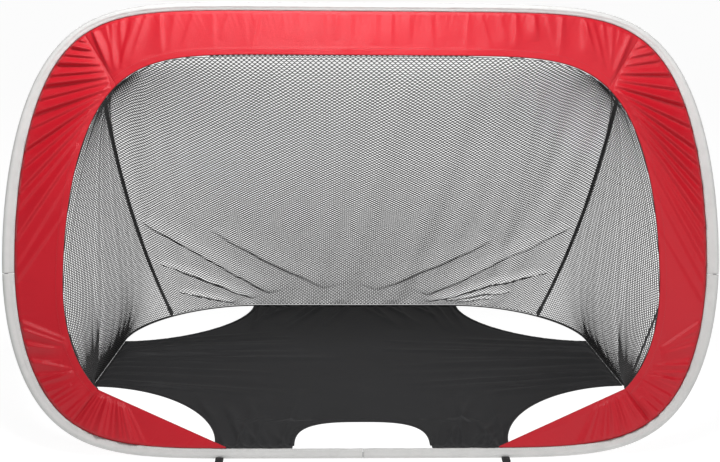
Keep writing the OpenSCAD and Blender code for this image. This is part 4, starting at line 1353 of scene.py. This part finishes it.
class GOAL_OT_stage(bpy.types.Operator):
    """Sets the pale ground, the soft lights and the camera"""

    bl_idname = "goal.stage"
    bl_label = "Stage"

    def execute(self, context):
        self.ground(context)
        world = bpy.data.worlds.new("studio")
        world.use_nodes = True
        background = world.node_tree.nodes["Background"]
        background.inputs[0].default_value = (1, 1, 1, 1)
        background.inputs[1].default_value = 0.15
        context.scene.world = world
        for name, place, aim, size, power in (
            ("key", (-0.1, -0.78, 1.45), (0, -0.25, 0.45), 0.35, 17.0),
            ("fill", (1.6, -2.4, 0.9), (0.1, -0.2, 0.3), 1.6, 18),
            ("back", (0.2, 2.4, 2.6), (0, 0.1, 0.4), 2.4, 6),
        ):
            light = bpy.data.lights.new(name, "AREA")
            light.size, light.energy = size, power
            way = np.array(aim, float) - np.array(place, float)
            tip = math.atan2(math.hypot(way[0], way[1]), -way[2])
            self.put(context, light, place, (tip, 0, math.atan2(-way[0], way[1])))
        cam = bpy.data.cameras.new("camera")
        cam.lens, cam.sensor_width = 50.0, 36.0
        turned = tuple(math.radians(a) for a in (75, -0.45, -1.24))
        context.scene.camera = self.put(context, cam, (-0.044, -1.8954, 0.801), turned)
        context.scene.view_settings.view_transform = "Standard"
        return {"FINISHED"}

    def put(self, context, data, place=(0, 0, 0), turned=(0, 0, 0)):
        obj = bpy.data.objects.new(data.name, data)
        context.collection.objects.link(obj)
        obj.location, obj.rotation_euler = place, turned
        return obj

    def ground(self, context):
        """A wide plane that glows evenly, and more dimly inside an ellipse in front of the goal: a painted
        shadow there.
        """
        mesh = bpy.data.meshes.new("studio_ground")
        r = 30.0
        mesh.from_pydata([(-r, -r, 0), (r, -r, 0), (r, r, 0), (-r, r, 0)], [], [(0, 1, 2, 3)])
        f = Finish("studio_ground")
        x, y, _ = f.axes()
        x, y = x * 0.75, y * 1.05 + 1.42
        # painted shadow: the glow drops to 0.4 inside the ellipse in front of the goal
        glow = f.blend((x * x + y * y).within(0.3, 1.0), rgba((0.4, 0.4, 0.4)), rgba((1.0, 1.0, 1.0)))
        base = rgba(context.scene.goal_colours.ground)
        mesh.materials.append(f.finish(base, 0.9, Emission_Strength=0.93, Emission_Color=glow))
        self.put(context, mesh)


class GOAL_OT_finishes(bpy.types.Operator):
    """Makes the cloths, yarns, plastics and steel, and dresses the frame's own solids with them"""

    bl_idname = "goal.finishes"
    bl_label = "Finishes"

    def execute(self, context):
        make_finishes(context.scene.goal_colours)
        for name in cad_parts:
            known = (("_rod_", "rod"), ("_cap_", "cap"), ("hoop_", "steel"))
            finish = next((finish for mark, finish in known if mark in name), "webbing")
            materials = bpy.data.objects[name].data.materials
            materials.clear()
            materials.append(FINISHES[finish])
        return {"FINISHED"}


class GOAL_OT_sleeve(Step, bpy.types.Operator):
    """Sews the three lengths of white sleeve round the hoop's spring"""

    bl_idname = "goal.sleeve"
    bl_label = "Hoop sleeve"

    def build(self, plan):
        for node, start, end, rows in (
            ("sleeve_top", -2.0, 182.0, 620),
            ("sleeve_lower_left", 182.0, 270.0, 300),
            ("sleeve_lower_right", 270.0, 358.0, 300),
        ):
            sleeve_length(plan, node, np.linspace(start + 0.04, end - 0.04, rows))


class GOAL_OT_bands(Step, bpy.types.Operator):
    """Gathers the five red panels between the sleeve and the mouth"""

    bl_idname = "goal.bands"
    bl_label = "Bands"

    def build(self, plan):
        made = [make_band(plan, "top", RIGHT, "band_top")]
        for word, side in SIDES.items():
            made.append(make_band(plan, "side", side, f"band_{word}"))
            made.append(make_band(plan, "lower", side, f"band_lower_{word}"))
        band_stitching(plan, made)
        mouth_tape(plan)


class GOAL_OT_nets(Step, bpy.types.Operator):
    """Knits the back net and the two side nets, and adds their foot tape and edging"""

    bl_idname = "goal.nets"
    bl_label = "Nets"

    def build(self, plan):
        for word in ("back", *SIDES):
            knit(plan, word)
        foot_tape(plan)
        net_edging(plan)


class GOAL_OT_floor(Step, bpy.types.Operator):
    """Lays the scalloped floor sheet and folds the binding over its edge"""

    bl_idname = "goal.floor_sheet"
    bl_label = "Floor sheet"

    def build(self, plan):
        floor_sheet(plan)
        floor_bindings(plan)


class GOAL_OT_struts(Step, bpy.types.Operator):
    """Draws the cloth sleeves over the rear struts, and the socks and pockets that hold the ends"""

    bl_idname = "goal.struts"
    bl_label = "Strut cloth"

    def build(self, plan):
        for word, side in SIDES.items():
            strut_sleeve(plan, word, side)
            sock(plan, word, side, "rear", plan.rear_foot, plan.rear_strut(0.97))
            sock(plan, word, side, "side", plan.side_foot, plan.side_top)
            for kind in plan.pockets:
                pocket_patch(plan, f"{kind}_pocket_{word}", side, kind)
                pocket_cup(plan, f"{kind}_pocket_{word}", side, kind)


class GOAL_OT_loops(Step, bpy.types.Operator):
    """Folds the two webbing loops for pegs"""

    bl_idname = "goal.peg_loops"
    bl_label = "Peg loops"

    def build(self, plan):
        for word in SIDES:
            peg_loop(word)


class GOAL_OT_stitches(Step, bpy.types.Operator):
    """Runs the two lines of stitching along the sleeve's seam"""

    bl_idname = "goal.stitches"
    bl_label = "Stitching"

    def build(self, plan):
        sleeve_stitching(plan)


STEPS = (
    GOAL_OT_stage,
    GOAL_OT_finishes,
    GOAL_OT_sleeve,
    GOAL_OT_bands,
    GOAL_OT_nets,
    GOAL_OT_floor,
    GOAL_OT_struts,
    GOAL_OT_loops,
    GOAL_OT_stitches,
)


class GOAL_PT_panel(bpy.types.Panel):
    """Lists the steps, the sizes and the colours"""

    bl_idname = "GOAL_PT_panel"
    bl_label = "Pop-up Goal Net"
    bl_space_type = "VIEW_3D"
    bl_region_type = "UI"
    bl_category = "Goal Net"

    def draw(self, context):
        for step in STEPS:
            self.layout.operator(step.bl_idname)
        for group in (context.scene.goal_sizes, context.scene.goal_colours):
            box = self.layout.box()
            for key in group.bl_rna.properties.keys():
                if key not in ("rna_type", "name"):
                    box.prop(group, key)


CLASSES = (GoalSizes, GoalColours, *STEPS, GOAL_PT_panel)


def register():
    for cls in CLASSES:
        bpy.utils.register_class(cls)
    bpy.types.Scene.goal_sizes = bpy.props.PointerProperty(type=GoalSizes)
    bpy.types.Scene.goal_colours = bpy.props.PointerProperty(type=GoalColours)


def unregister():
    del bpy.types.Scene.goal_colours
    del bpy.types.Scene.goal_sizes
    for cls in reversed(CLASSES):
        bpy.utils.unregister_class(cls)


def main():
    register()
    for step in STEPS:
        group, call = step.bl_idname.split(".")
        getattr(getattr(bpy.ops, group), call)()


if __name__ == "__main__":
    main()
